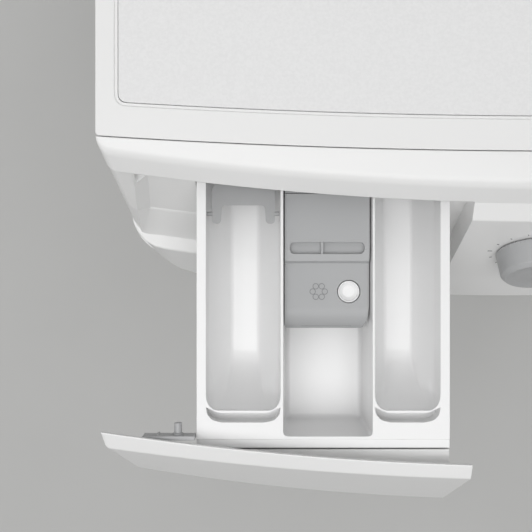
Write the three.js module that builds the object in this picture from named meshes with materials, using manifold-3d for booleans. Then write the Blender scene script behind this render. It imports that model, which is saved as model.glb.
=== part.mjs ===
// Front-loading washing machine, built as an assembly of separate pieces.
// Millimetres, +X to the machine's right, +Y to its back, +Z up. The origin is on the floor, in the
// middle of the space that the machine takes with its dispenser drawer drawn out to its stop.
import * as THREE from "three";
import { mergeVertices } from "three/addons/utils/BufferGeometryUtils.js";
import Module from "manifold-3d";

const wasm = await Module();
wasm.setup();

// ---------------------------------------------------------------- driving dimensions
const WIDTH = 597; // across the side panels
const HEIGHT = 847; // floor to worktop
const DEPTH = 583; // worktop's rear edge to the drawer front's lower edge at mid-width, drawer shut
const DRAWER_TRAVEL = 170; // how far the dispenser drawer is drawn out at rest
const GAP = 0.5; // between neighbouring pieces
const SHEET = 1.2; // steel sheet
const SKIN = 3; // moulded wall
const HALF = WIDTH / 2;

// Lines that the control panel's surfaces turn at: how far each is ahead of the drawer front's lower
// edge at mid-width, its height, how far it falls back at the sides, its corner's radius in plan and
// how far its ends are drawn in from the machine's sides.
const SEAM = { ahead: -80.3, z: HEIGHT, bow: 9.7, corner: 0, inset: 0 };
const CREASE = { ahead: -59, z: HEIGHT - 2, bow: 22.2, corner: 8, inset: 0 };
const LIP = { ahead: -48.3, z: HEIGHT - 17, bow: 22.3, corner: 8, inset: 3.5 };
const BROW = { ahead: -37, z: HEIGHT - 24, bow: 21.6, corner: 6, inset: 4 };
const LEDGE = { ahead: 0, z: HEIGHT - 119.5, bow: 26.1, corner: 22, inset: 6 };
const CHIN = { ahead: 16.4, z: HEIGHT - 157, bow: 26.1, corner: 48, inset: 6 };
const DRAWN_IN = 60; // length over which a line's end is drawn in
const UNDERSIDE = HEIGHT - 161; // control panel's lower face
const WORKTOP_THICK = 24;
const WORKTOP_BASE = HEIGHT - WORKTOP_THICK;
const PANEL_REAR = 99; // control panel's open back

// Pocket that the drawer front closes
const WELL = { ahead: -10.3, z: LEDGE.z, bow: 26.1, corner: 14, inset: 6 };
const RIB = { ahead: -31.7, z: HEIGHT - 89, bow: 22.3, corner: 8, inset: 4 };
const RECESS_TOP = { ahead: -51, z: HEIGHT - 37, bow: 22.3, corner: 6, inset: 4 };
const POCKET_SIDE = 20; // pocket's left wall, in from the machine's side
const SLOPE = Math.atan2(LEDGE.ahead - BROW.ahead, BROW.z - LEDGE.z);

// Worktop
const BOARD_SIDE = 14.5;
const BOARD_FRONT = 22.6;
const BOARD_REAR = 24;
const GROOVE = 2.4;
const BOARD_THICK = 18;
const RAIL = 9; // shelf of the frame that the board lies on

// Dispenser drawer. Depths are measured back from the drawer front's lower edge, drawer shut.
const FASCIA_WIDE = 242.5;
const SETBACK = 0.3; // drawer front's lower edge, behind the ledge's edge
const TRAY_INSET = 61.6; // tray's left face, in from the machine's side
const TRAY_FRONT = 56.6;
const TRAY_LONG = 235;
const TRAY_DEEP = 52;
const TRAY_FLOOR = 3;
const RIM_Z = WORKTOP_BASE - 8;
const BRACKET_LOW = Math.min(RECESS_TOP.z + 1.5, RIM_Z - 3.5);
const RIM = 6.3; // tray's outer walls
const DIVIDER = 2.2;
const MAIN_WIDE = 49.7; // left compartment
const SOFTENER_WIDE = 58.6; // middle compartment
const PREWASH_WIDE = 43.6; // right compartment
const MAIN_FRONT = 18.7; // solid front of the outer compartments
const SOFTENER_FRONT = 7.7;
const RUN_GAP = 1.2; // between the tray and what it slides in
const HOUSING_FRONT = 74;
const HOUSING_WALL = 2.5;
const HOUSING_DEEP = 19; // housing below the tray
const RUNNER = 6; // ledge at each side that the tray slides on
const COVER_GAP = 2.7; // tray's rim to the housing's top edge
const CAP_DROP = 6; // softener cap's top, below the rim
const CAP_SKIRT = 15;
const FLAP_DROP = 9;
const FLAP_THICK = 1.6;

// Cabinet
const FOOT_HEIGHT = 24;
const FOOT_RADIUS = 22;
const STEM_RADIUS = 5;
const FRONT_FACE = 17; // front panel's outer face
const FRONT_DEEP = 11; // from that face to what stands behind it
const FRONT_EDGE = 35; // radius of the front panel's upright edges
const WRAP = 38; // how far the front panel reaches round to the sides
const REAR_RECESS = 18; // rear panel, in from the worktop's rear edge
const BASE_HIGH = 36;
const BACK = DEPTH - REAR_RECESS;

// Wash unit
const BOTTOM_ROOM = 129; // floor to the tub
const TOP_ROOM = 186; // tub to the worktop
const SIDE_ROOM = 32.5;
const TUB_RADIUS = Math.min(HALF - SIDE_ROOM, (HEIGHT - TOP_ROOM - BOTTOM_ROOM) / 2);
const AXIS_Z = BOTTOM_ROOM + (HEIGHT - TOP_ROOM - BOTTOM_ROOM) / 2;
const TUB_WALL = 4;
const TUB_FRONT = 104;
const TUB_SPLIT = 230;
const TUB_BACK = DEPTH - 121;
const FLANGE = 10;
const COLLAR = 12;
const FRONT_WALL = 88; // tub's front wall, from its rim in to the mouth
const MOUTH = TUB_RADIUS - FRONT_WALL;
const DRUM_ROOM = 22;
const DRUM_RADIUS = TUB_RADIUS - TUB_WALL - DRUM_ROOM;
const DRUM_FRONT = TUB_FRONT + 14;
const DRUM_BACK = TUB_BACK - 37;
const LIFTER_HIGH = 58;
const SHAFT = 15;
const BEARING = 31;
const BEARING_WIDE = 15;
const PULLEY = 140;
const PULLEY_FRONT = TUB_BACK + 43;
const PULLEY_WIDE = 20;
const MOTOR_RADIUS = 50;
const MOTOR_ABOVE_BASE = 21; // motor's underside over the base tray's
const MOTOR_TUB_GAP = 7.1;
const MOTOR_Z = FOOT_HEIGHT + MOTOR_ABOVE_BASE + MOTOR_RADIUS;
const MOTOR_X = Math.sqrt((TUB_RADIUS + MOTOR_TUB_GAP + MOTOR_RADIUS) ** 2 - (AXIS_Z - MOTOR_Z) ** 2);
const MOTOR_LONG = 112;
const MOTOR_PULLEY = 11.5;
const BELT = 2.5;
const BELT_GAP = 0.4;

// Door
const DOOR_RADIUS = MOUTH + 44;
const WINDOW = MOUTH - 29;
const BOWL_DEEP = 104;
const GLASS = 4;
const DOOR_FRONT = -14;
const HINGE_OUT = 14; // hinge axis, out from the door's rim
const HINGE_Y = 2;
const KNUCKLE = 6;
const PIN = 3;
const HINGE_HALF = 30;

// Controls
const KNOB = 27;
const BUTTON = 11;
const CONTROL_SPACE = 15;

// Pump
const PUMP_INSET = 98.5; // pump axis, in from the right side
const PUMP_Z = 105;
const PUMP_RADIUS = 32;
const PUMP_FRONT = FRONT_FACE + FRONT_DEEP + 2;
const PUMP_LONG = 105;
const FILTER_RADIUS = 25.5;
const FLAP_HALF = 49.5;
const HATCH_LOW = 65;
const HATCH_HIGH = 145;

// ---------------------------------------------------------------- places worked out from those
const FASCIA_RIGHT = -HALF + FASCIA_WIDE;
const TRAY_LEFT = -HALF + TRAY_INSET;
const TRAY_WIDE = 2 * RIM + MAIN_WIDE + SOFTENER_WIDE + PREWASH_WIDE + 2 * DIVIDER;
const TRAY_RIGHT = TRAY_LEFT + TRAY_WIDE;
const TRAY_REAR = TRAY_FRONT + TRAY_LONG;
const HOUSING_REAR = TRAY_REAR + RUN_GAP + 4 + HOUSING_WALL;
const TRAY_BASE = RIM_Z - TRAY_DEEP;
const housingX = [TRAY_LEFT - RUN_GAP - HOUSING_WALL, TRAY_RIGHT + RUN_GAP + HOUSING_WALL];
const HOUSING_BASE = TRAY_BASE - HOUSING_DEEP;
const HOUSING_TOP = RIM_Z + COVER_GAP;
const FRONT = -(DEPTH - DRAWER_TRAVEL + SETBACK + LEDGE.bow * (FASCIA_RIGHT / HALF) ** 2) / 2;
const PUMP_X = HALF - PUMP_INSET;
const HINGE_X = -DOOR_RADIUS - HINGE_OUT;
const KNOB_X = FASCIA_RIGHT + 56;
const START_X = HALF - 43;
const POWER_X = START_X - 40;
const FILL = { x: TRAY_LEFT + TRAY_WIDE / 2, back: 170 };

// ---------------------------------------------------------------- colours
const finish = (color, roughness, metalness = 0) =>
  new THREE.MeshStandardMaterial({ color, roughness, metalness });
const WHITE = finish(0xf1f0ee, 0.35);
const BOARD = finish(0xe9e9e9, 0.6);
const STEEL = finish(0xb9bcbf, 0.3, 1);
const GREY = finish(0xaeb0b0, 0.45);
const DARK = finish(0x2c2e30, 0.4);
const RUBBER = finish(0x8d9092, 0.8);
const CLEAR = finish(0xc9d3d6, 0.05);
const TUB = finish(0x9da3a6, 0.6);
const CONCRETE = finish(0x8f8c86, 0.9);

// ---------------------------------------------------------------- solids
// A three.js geometry as a closed solid, with its faces turned outwards.
function solid(geometry) {
  const source = geometry.index ? geometry.toNonIndexed() : geometry;
  const bare = new THREE.BufferGeometry();
  bare.setAttribute("position", source.getAttribute("position"));
  const merged = mergeVertices(bare, 1e-3);
  const vertProperties = merged.attributes.position.array;
  const triVerts = withoutFolds(merged.index.array);
  const made = new wasm.Manifold(new wasm.Mesh({ numProp: 3, vertProperties, triVerts }));
  if (made.volume() > 0) return made;
  for (let i = 0; i < triVerts.length; i += 3) triVerts.subarray(i, i + 3).reverse();
  return new wasm.Manifold(new wasm.Mesh({ numProp: 3, vertProperties, triVerts }));
}

// Triangles that merging has folded to a line, such as those at a lathe's poles, are left out.
function withoutFolds(index) {
  const kept = [];
  for (let i = 0; i < index.length; i += 3) {
    const [a, b, c] = index.subarray(i, i + 3);
    if (a !== b && b !== c && c !== a) kept.push(a, b, c);
  }
  return new Uint32Array(kept);
}

const join = (first, ...rest) => rest.reduce((a, b) => a.add(b), first);
const cut = (first, ...rest) => rest.reduce((a, b) => a.subtract(b), first);

function piece(name, manifold, material) {
  const mesh = manifold.getMesh();
  const geometry = new THREE.BufferGeometry();
  geometry.setAttribute("position", new THREE.BufferAttribute(mesh.vertProperties, 3));
  geometry.setIndex(new THREE.BufferAttribute(mesh.triVerts, 1));
  const made = new THREE.Mesh(geometry, material);
  made.name = name;
  return made;
}

// A solid moved by a Matrix4.
const moved = (manifold, matrix) => manifold.transform(matrix.elements);

// In all that follows, "back" is the distance behind the drawer front's lower edge at mid-width.
function box([x0, x1], [back0, back1], [z0, z1]) {
  const geometry = new THREE.BoxGeometry(x1 - x0, back1 - back0, z1 - z0);
  return solid(geometry.translate((x0 + x1) / 2, FRONT + (back0 + back1) / 2, (z0 + z1) / 2));
}

// A cylinder along Y, centred on (x, z).
function rodY(radius, [back0, back1], x, z, sides = 24) {
  const geometry = new THREE.CylinderGeometry(radius, radius, back1 - back0, sides);
  return solid(geometry.translate(x, FRONT + (back0 + back1) / 2, z));
}

// A cylinder along Z, centred on (x, back).
function rodZ(radius, [z0, z1], x, back, sides = 24) {
  const geometry = new THREE.CylinderGeometry(radius, radius, z1 - z0, sides).rotateX(Math.PI / 2);
  return solid(geometry.translate(x, FRONT + back, (z0 + z1) / 2));
}

// A closed profile of [radius, back] points turned about the drum's axis, or about (x, z).
function turned(profile, sides = 32, x = 0, z = AXIS_Z) {
  const points = profile.map(([r, back]) => new THREE.Vector2(r, FRONT + back));
  if (profile[0][0] > 0) points.push(points[0].clone());
  return solid(new THREE.LatheGeometry(points, sides).translate(x, 0, z));
}

// A profile of [radius, height] points turned about Z, standing on the origin.
function turnedZ(profile, sides = 24) {
  const points = profile.map(([r, z]) => new THREE.Vector2(r, z));
  if (profile[0][0] > 0) points.push(points[0].clone());
  return solid(new THREE.LatheGeometry(points, sides).rotateX(Math.PI / 2));
}

function shapeOf(outline) {
  return new THREE.Shape(outline.map(([a, b]) => new THREE.Vector2(a, b)));
}

// A flat outline of [x, back] points raised from z0 to z1.
function slab(outline, [z0, z1]) {
  const geometry = new THREE.ExtrudeGeometry(shapeOf(outline), { depth: z1 - z0, bevelEnabled: false });
  return solid(geometry.translate(0, FRONT, z0));
}

// An outline of [back, z] points carried across from x0 to x1.
function side(outline, [x0, x1]) {
  const geometry = new THREE.ExtrudeGeometry(shapeOf(outline), { depth: x1 - x0, bevelEnabled: false });
  const turn = new THREE.Matrix4().set(0, 0, 1, x0, 1, 0, 0, FRONT, 0, 1, 0, 0, 0, 0, 0, 1);
  return solid(geometry.applyMatrix4(turn));
}

// A round tube along a smooth line through [x, back, z] points.
function tube(points, radius, steps, sides = 8) {
  const stops = points.map(([x, back, z]) => new THREE.Vector3(x, FRONT + back, z));
  const line = new THREE.CatmullRomCurve3(stops);
  const ring = new THREE.Shape();
  ring.absarc(0, 0, radius, 0, 2 * Math.PI);
  const settings = { steps, curveSegments: sides, extrudePath: line };
  return solid(new THREE.ExtrudeGeometry(ring, settings));
}

// Where a line of the control panel is at station x, as [x, back], its ends drawn in and rounded.
function along(line, x) {
  const past = Math.max(0, Math.abs(x) - (HALF - DRAWN_IN)) / DRAWN_IN;
  const across = x - Math.sign(x) * line.inset * past * past;
  const over = Math.max(0, Math.abs(across) - (HALF - line.inset - line.corner));
  const rounding = line.corner - Math.sqrt(Math.max(0, line.corner ** 2 - over ** 2));
  return [across, -line.ahead + line.bow * (across / HALF) ** 2 + rounding];
}

// Stations across a bowed piece, closer together round the front corners.
function stations([x0, x1]) {
  const pitch = 48;
  const marks = [x0, x1];
  const count = Math.ceil((x1 - x0) / pitch);
  for (let i = 1; i < count; i++) marks.push(x0 + ((x1 - x0) * i) / count);
  for (const margin of [1, 3, 7, 13, 24, 38, 54]) marks.push(margin - HALF, HALF - margin);
  const inside = marks.filter((x) => x >= x0 && x <= x1).sort((a, b) => a - b);
  return inside.filter((x, i) => i === 0 || x - inside[i - 1] > 0.8);
}

const near = (line, ahead = 0, up = 0) => ({ ...line, ahead: line.ahead + ahead, z: line.z + up });
const straight = (back, z) => ({ ahead: -back, z, bow: 0, corner: 0, inset: 0 });

// A section of such lines swept across the machine from x0 to x1.
function bowed(section, span) {
  const rings = stations(span).map((x) =>
    section.map((line) => {
      const [across, back] = along(line, x);
      return [across, FRONT + back, line.z];
    })
  );
  const positions = [];
  const face = (...corners) => corners.forEach((p) => positions.push(...p));
  for (let i = 0; i + 1 < rings.length; i++) {
    for (let j = 0; j < section.length; j++) {
      const k = (j + 1) % section.length;
      face(rings[i][j], rings[i + 1][j], rings[i + 1][k]);
      face(rings[i][j], rings[i + 1][k], rings[i][k]);
    }
  }
  const outline = (ring) => ring.map(([, y, z]) => new THREE.Vector2(y, z));
  const cap = (ring, flip) => {
    for (const [a, b, c] of THREE.ShapeUtils.triangulateShape(outline(ring), [])) {
      if (flip) face(ring[c], ring[b], ring[a]);
      else face(ring[a], ring[b], ring[c]);
    }
  };
  const turns = THREE.ShapeUtils.area(outline(rings[0])) > 0;
  cap(rings[0], !turns);
  cap(rings[rings.length - 1], turns);
  const geometry = new THREE.BufferGeometry();
  geometry.setAttribute("position", new THREE.Float32BufferAttribute(positions, 3));
  return solid(geometry);
}

// The place on the control panel's sloping front at x, its +Z pointing straight out of the surface.
function onPanel(x) {
  const middle = (BROW.z + LEDGE.z) / 2;
  const ahead = (BROW.ahead + LEDGE.ahead) / 2;
  const bow = (BROW.bow + LEDGE.bow) / 2;
  const yaw = Math.atan((2 * bow * x) / (HALF * HALF));
  const y = FRONT - ahead + bow * (x / HALF) ** 2;
  return new THREE.Matrix4()
    .makeTranslation(x, y, middle)
    .multiply(new THREE.Matrix4().makeRotationZ(yaw))
    .multiply(new THREE.Matrix4().makeRotationX(Math.PI / 2 - SLOPE));
}

// A box and a cylinder in a frame of their own, the cylinder along Z.
function localBox([x0, x1], [y0, y1], [z0, z1]) {
  const geometry = new THREE.BoxGeometry(x1 - x0, y1 - y0, z1 - z0);
  return solid(geometry.translate((x0 + x1) / 2, (y0 + y1) / 2, (z0 + z1) / 2));
}

function localRod(radius, [z0, z1], sides = 24) {
  const geometry = new THREE.CylinderGeometry(radius, radius, z1 - z0, sides).rotateX(Math.PI / 2);
  return solid(geometry.translate(0, 0, (z0 + z1) / 2));
}

// ---------------------------------------------------------------- worktop
// The worktop's outline as [x, back] points, drawn in by a margin at the sides, front and rear.
function worktopOutline(sideMargin, frontMargin, rearMargin) {
  const front = stations([-HALF + sideMargin, HALF - sideMargin]).map((x) => {
    const [across, back] = along(SEAM, x);
    return [across, back + frontMargin];
  });
  const rear = DEPTH - rearMargin;
  return [...front, [HALF - sideMargin, rear], [-HALF + sideMargin, rear]];
}

function worktopFrame() {
  const body = slab(worktopOutline(0, GAP, 0), [WORKTOP_BASE, HEIGHT]);
  const margins = [BOARD_SIDE - GROOVE, BOARD_FRONT - GROOVE, BOARD_REAR - GROOVE];
  const seat = slab(worktopOutline(...margins), [HEIGHT - BOARD_THICK - GAP, HEIGHT + 1]);
  const through = worktopOutline(...margins.map((margin) => margin + RAIL));
  return piece("worktop_frame", cut(body, seat, slab(through, [0, HEIGHT])), WHITE);
}

function worktopBoard() {
  const outline = worktopOutline(BOARD_SIDE, BOARD_FRONT, BOARD_REAR);
  return piece("worktop_board", slab(outline, [HEIGHT - BOARD_THICK, HEIGHT]), BOARD);
}

// ---------------------------------------------------------------- control panel
const displayLeft = KNOB_X + KNOB + CONTROL_SPACE;
const displayRight = POWER_X - BUTTON - CONTROL_SPACE;
const DISPLAY = { x: (displayLeft + displayRight) / 2, half: (displayRight - displayLeft) / 2, high: 18 };

function controlPanel() {
  const outer = bowed(
    [
      SEAM,
      CREASE,
      LIP,
      BROW,
      LEDGE,
      CHIN,
      near(CHIN, -4, UNDERSIDE - CHIN.z),
      straight(PANEL_REAR, UNDERSIDE),
      straight(PANEL_REAR, WORKTOP_BASE - GAP),
      near(SEAM, 0, WORKTOP_BASE - GAP - HEIGHT),
    ],
    [-HALF, HALF]
  );
  const low = UNDERSIDE + SKIN;
  const high = WORKTOP_BASE - GAP - SKIN;
  const open = PANEL_REAR + 1;
  const hollowRight = bowed(
    [
      straight(open, low),
      near(CHIN, -6.5, low - CHIN.z),
      near(LEDGE, -3.8),
      near(BROW, -3.5, -2.5),
      near(LIP, -3, -2.5),
      near(CREASE, -2.5, -3.5),
      near(SEAM, SKIN, -3.5),
      near(SEAM, SKIN, high - HEIGHT),
      straight(open, high),
    ],
    [FASCIA_RIGHT + GAP + SKIN, HALF - SKIN]
  );
  const hollowLeft = bowed(
    [
      straight(open, low),
      near(CHIN, -6.5, low - CHIN.z),
      near(LEDGE, -3.2, -SKIN),
      near(WELL, -4, -SKIN),
      near(RIB, -3.8, 1),
      near(RECESS_TOP, -3.5, 1),
      near(RECESS_TOP, -3.5, high - RECESS_TOP.z),
      straight(open, high),
    ],
    [-HALF + SKIN, FASCIA_RIGHT + GAP]
  );
  const clear = 30;
  const shallow = bowed(
    [near(LIP, -1.2), near(WELL), near(WELL, clear), near(WELL, clear, LIP.z - WELL.z)],
    [-HALF - 1, -HALF + POCKET_SIDE + 1]
  );
  const deep = bowed(
    [
      near(RECESS_TOP, -1, LIP.z - RECESS_TOP.z),
      RECESS_TOP,
      RIB,
      WELL,
      near(WELL, clear),
      near(WELL, clear, LIP.z - WELL.z),
    ],
    [-HALF + POCKET_SIDE, FASCIA_RIGHT + GAP]
  );
  const opening = box(
    [TRAY_LEFT - RUN_GAP, TRAY_RIGHT + RUN_GAP],
    [0, PANEL_REAR + 1],
    [TRAY_BASE - RUN_GAP, LIP.z]
  );
  const bracketSlot = box(
    [-HALF + POCKET_SIDE + 1, TRAY_LEFT + 2],
    [40, TRAY_FRONT + 22],
    [BRACKET_LOW - 1.5, LIP.z]
  );
  const housingRoom = box(
    [housingX[0] - GAP, housingX[1] + GAP],
    [HOUSING_FRONT - GAP, PANEL_REAR + 1],
    [HOUSING_BASE - GAP, WORKTOP_BASE - GAP]
  );
  const hollows = join(hollowLeft, hollowRight, housingRoom);
  const pocket = join(shallow, deep, opening, bracketSlot);
  const display = localBox([-DISPLAY.half, DISPLAY.half], [-DISPLAY.high, DISPLAY.high], [-9, 6]);
  const holes = [
    moved(localRod(5, [-12, 6]), onPanel(KNOB_X)),
    moved(display, onPanel(DISPLAY.x)),
    moved(localRod(BUTTON + GAP, [-12, 6]), onPanel(POWER_X)),
    moved(localRod(BUTTON + GAP, [-12, 6]), onPanel(START_X)),
  ];
  return piece("control_panel", cut(outer, hollows, pocket, ...holes), WHITE);
}

function displayLens() {
  const across = DISPLAY.half - GAP;
  const up = DISPLAY.high - GAP;
  const lens = localBox([-across, across], [-up, up], [-3, 0]);
  return piece("display_lens", moved(lens, onPanel(DISPLAY.x)), DARK);
}

function programmeKnob() {
  const profile = [
    [0, 20],
    [KNOB - 5, 20],
    [KNOB - 2, 17],
    [KNOB, 1],
    [4, 1],
    [4, -11],
    [0, -11],
  ];
  const pointer = localBox([-1.2, 1.2], [KNOB - 14, KNOB - 6], [18.8, 20.6]);
  return piece("programme_knob", moved(join(turnedZ(profile, 36), pointer), onPanel(KNOB_X)), GREY);
}

function button(name, x, material) {
  const profile = [
    [0, 3],
    [BUTTON - 1.2, 3],
    [BUTTON, 1.8],
    [BUTTON, -5],
    [0, -5],
  ];
  return piece(name, moved(turnedZ(profile, 24), onPanel(x)), material);
}

// ---------------------------------------------------------------- dispenser drawer
// Everything on the drawer is drawn shut here, and its group stands DRAWER_TRAVEL further forward.
const mainLeft = TRAY_LEFT + RIM;
const softenerLeft = mainLeft + MAIN_WIDE + DIVIDER;
const prewashLeft = softenerLeft + SOFTENER_WIDE + DIVIDER;
const floorZ = TRAY_BASE + TRAY_FLOOR;

function drawerTray() {
  const body = box([TRAY_LEFT, TRAY_RIGHT], [TRAY_FRONT, TRAY_REAR], [TRAY_BASE, RIM_Z]);
  const hollow = (x, wide, front) =>
    box([x, x + wide], [TRAY_FRONT + front, TRAY_REAR - DIVIDER], [floorZ, RIM_Z + 1]);
  const trough = (x, wide) => {
    const radius = wide / 2;
    const low = floorZ + 4;
    const span = [TRAY_FRONT + MAIN_FRONT, TRAY_REAR - DIVIDER];
    const upper = box([x, x + wide], span, [low + radius, RIM_Z + 1]);
    return join(upper, rodY(radius, span, x + radius, low + radius, 24));
  };
  const drain = (x, wide) => {
    const middle = x + wide / 2;
    return box([middle - 8, middle + 8], [TRAY_REAR - 20, TRAY_REAR + 1], [floorZ, floorZ + 16]);
  };
  return piece(
    "drawer_tray",
    cut(
      body,
      trough(mainLeft, MAIN_WIDE),
      hollow(softenerLeft, SOFTENER_WIDE, SOFTENER_FRONT),
      trough(prewashLeft, PREWASH_WIDE),
      drain(mainLeft, MAIN_WIDE),
      drain(prewashLeft, PREWASH_WIDE)
    ),
    WHITE
  );
}

function drawerFascia() {
  const hang = GAP + 0.2; // clear of the ledge below
  // Its ends keep to lines of their own, which lean in towards the foot and shut clear of the lip.
  const edge = (line, corner, inset) => ({ ...line, corner, inset });
  const shell = bowed(
    [
      edge(near(LIP, 0.8, -0.8), 0, 0.3),
      edge(BROW, 2.5, 1.8),
      edge(near(LEDGE, -SETBACK, hang), 4, 7),
      edge(near(LEDGE, -SETBACK - 3.3, hang), 2, 7),
      edge(near(BROW, -2.8, -2.7), 0, 1.8),
      edge(near(LIP, 0.8, -4.5), 0, 0.3),
    ],
    [-HALF, FASCIA_RIGHT]
  );
  const plateFront = TRAY_FRONT - 3.2;
  const plateBack = TRAY_FRONT - 1.4;
  const across = [TRAY_LEFT, TRAY_RIGHT];
  const top = RIM_Z - 3;
  const plate = box(across, [plateFront, plateBack], [TRAY_BASE, top]);
  // A shelf joins the plate to the bowed shell along its top.
  const behindShell = bowed(
    [
      straight(PANEL_REAR, top),
      near(BROW, 2.5, top - BROW.z),
      near(BROW, 3.5, top - SKIN - BROW.z),
      straight(PANEL_REAR, top - SKIN),
    ],
    across
  );
  const shelf = box(across, [0, plateBack], [top - SKIN, top]).intersect(behindShell);
  return piece("drawer_fascia", join(shell, plate, shelf), WHITE);
}

// Small plate beside the tray, with the peg that holds the drawer front square.
function drawerBracket() {
  const back = TRAY_FRONT + 9.5;
  const front = TRAY_FRONT + 6.7;
  const left = TRAY_LEFT - 35;
  const right = TRAY_LEFT - GAP;
  const outline = [
    [left, back],
    [left, back - 0.9],
    [left + 10, front],
    [right, front],
    [right, back],
  ];
  const plate = slab(outline, [BRACKET_LOW, BROW.z + 1]);
  const peg = rodY(2.6, [back - 1, back + 8], TRAY_LEFT - 12, BRACKET_LOW + 6, 16);
  return piece("drawer_bracket", join(plate, peg), GREY);
}

const CAP_FRONT = TRAY_FRONT + 78.7;
const CAP_REAR = TRAY_FRONT + 170;

// Lift-out cap of the softener compartment, with its filling slot and its pouring hole.
function softenerCap() {
  const left = softenerLeft + 0.7;
  const right = softenerLeft + SOFTENER_WIDE - 0.7;
  const top = RIM_Z - CAP_DROP;
  const body = side(
    [
      [CAP_FRONT, top - CAP_SKIRT],
      [CAP_FRONT, top - 5],
      [CAP_FRONT + 5, top - 1],
      [CAP_FRONT + 12, top],
      [CAP_REAR, top],
      [CAP_REAR, top - CAP_SKIRT],
    ],
    [left, right]
  );
  const wallThick = 2;
  const hollow = box(
    [left + wallThick, right - wallThick],
    [CAP_FRONT + wallThick, CAP_REAR - wallThick],
    [0, top - 6]
  );
  const slotWide = 50;
  const slotLeft = (left + right - slotWide) / 2;
  const bar = slotLeft + 22;
  const slotSpan = [CAP_FRONT + 50.5, CAP_FRONT + 58.5];
  const slots = [
    box([slotLeft, bar], slotSpan, [0, top + 1]),
    box([bar + 2, slotLeft + slotWide], slotSpan, [0, top + 1]),
  ];
  const hole = rodZ(7.9, [0, top + 1], right - 15, CAP_FRONT + 25.5, 24);
  return piece("softener_cover", cut(body, hollow, ...slots, hole), GREY);
}

const FLAP_AXIS = { back: TRAY_FRONT + 156.6, z: RIM_Z - FLAP_DROP };

// Swing flap for liquid detergent, lying folded back at rest.
function detergentFlap() {
  const left = mainLeft + 3.4;
  const right = mainLeft + MAIN_WIDE - 3.7;
  const plate = [FLAP_AXIS.z - FLAP_THICK / 2, FLAP_AXIS.z + FLAP_THICK / 2];
  const tabFront = FLAP_AXIS.back - 6.7;
  const notch = FLAP_AXIS.back + 5.8;
  const rear = FLAP_AXIS.back + 33;
  // Its rear end is rounded off as the trough is, because it hangs down into it.
  const outline = [
    [left, tabFront],
    [left + 6, tabFront],
    [left + 6, notch],
    [right - 6, notch],
    [right - 6, tabFront],
    [right, tabFront],
    [right, rear - 17],
    [right - 4, rear - 8],
    [right - 12, rear],
    [left + 12, rear],
    [left + 4, rear - 8],
    [left, rear - 17],
  ];
  const pinLeft = new THREE.CylinderGeometry(1.5, 1.5, right - left + 6, 12).rotateZ(Math.PI / 2);
  const pins = solid(pinLeft.translate((left + right) / 2, FRONT + FLAP_AXIS.back, FLAP_AXIS.z));
  const window = box([left + 6, right - 6], [tabFront - 5, notch], [0, HEIGHT]);
  return piece("detergent_flap", join(slab(outline, plate), cut(pins, window)), GREY);
}

// Lower shell of the dispenser, with the drawer's runners and the neck that feeds the tub.
function dispenserHousing() {
  const [x0, x1] = housingX;
  const top = TRAY_BASE - GAP;
  const body = box([x0, x1], [HOUSING_FRONT, HOUSING_REAR], [HOUSING_BASE, top]);
  const hollow = box(
    [x0 + RUNNER, x1 - RUNNER],
    [HOUSING_FRONT + 3, HOUSING_REAR - HOUSING_WALL],
    [HOUSING_BASE + HOUSING_WALL, top + 1]
  );
  const neck = rodZ(20, [HOUSING_BASE - 15, HOUSING_BASE + 1], FILL.x, FILL.back);
  const bore = rodZ(16, [HOUSING_BASE - 16, HOUSING_BASE + 4], FILL.x, FILL.back);
  return piece("dispenser_housing", cut(join(cut(body, hollow), neck), bore), TUB);
}

// Upper shell: its walls beside and behind the drawer, and its top over it.
function dispenserCover() {
  const [x0, x1] = housingX;
  const low = HOUSING_TOP + GAP;
  const body = box([x0, x1], [HOUSING_FRONT, HOUSING_REAR], [TRAY_BASE, low + 3]);
  const hollow = box(
    [x0 + HOUSING_WALL, x1 - HOUSING_WALL],
    [HOUSING_FRONT - 1, HOUSING_REAR - HOUSING_WALL],
    [TRAY_BASE - 1, low]
  );
  return piece("dispenser_cover", cut(body, hollow), TUB);
}

// ---------------------------------------------------------------- cabinet
function frontPanel() {
  const top = UNDERSIDE - GAP;
  const low = FOOT_HEIGHT + 4;
  const rear = FRONT_FACE + WRAP;
  // The plan outline as [x, back] points, drawn in by a sheet's thickness where it is hollow.
  const outline = (margin, end) => {
    const radius = FRONT_EDGE - margin;
    const points = [];
    for (let i = 0; i <= 6; i++) {
      const turn = (i * Math.PI) / 12;
      const across = HALF - FRONT_EDGE + radius * Math.sin(turn);
      points.push([across, FRONT_FACE + FRONT_EDGE - radius * Math.cos(turn)]);
    }
    const left = points.map(([x, back]) => [-x, back]).reverse();
    return [...left, ...points, [HALF - margin, end], [-HALF + margin, end]];
  };
  const body = slab(outline(0, rear), [low, top]);
  const hollow = slab(outline(SHEET, rear + 1), [low + SHEET, top - SHEET]);
  const doorHole = rodY(MOUTH, [0, 60], 0, AXIS_Z, 40);
  const hatch = box([PUMP_X - FLAP_HALF - GAP, PUMP_X + FLAP_HALF + GAP], [0, 60], [HATCH_LOW, HATCH_HIGH]);
  const latchHole = box([LATCH_X - 9, LATCH_X + 12], [0, 60], [AXIS_Z - 12, AXIS_Z + 12]);
  return piece("front_panel", cut(body, hollow, doorHole, hatch, latchHole), WHITE);
}

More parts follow.
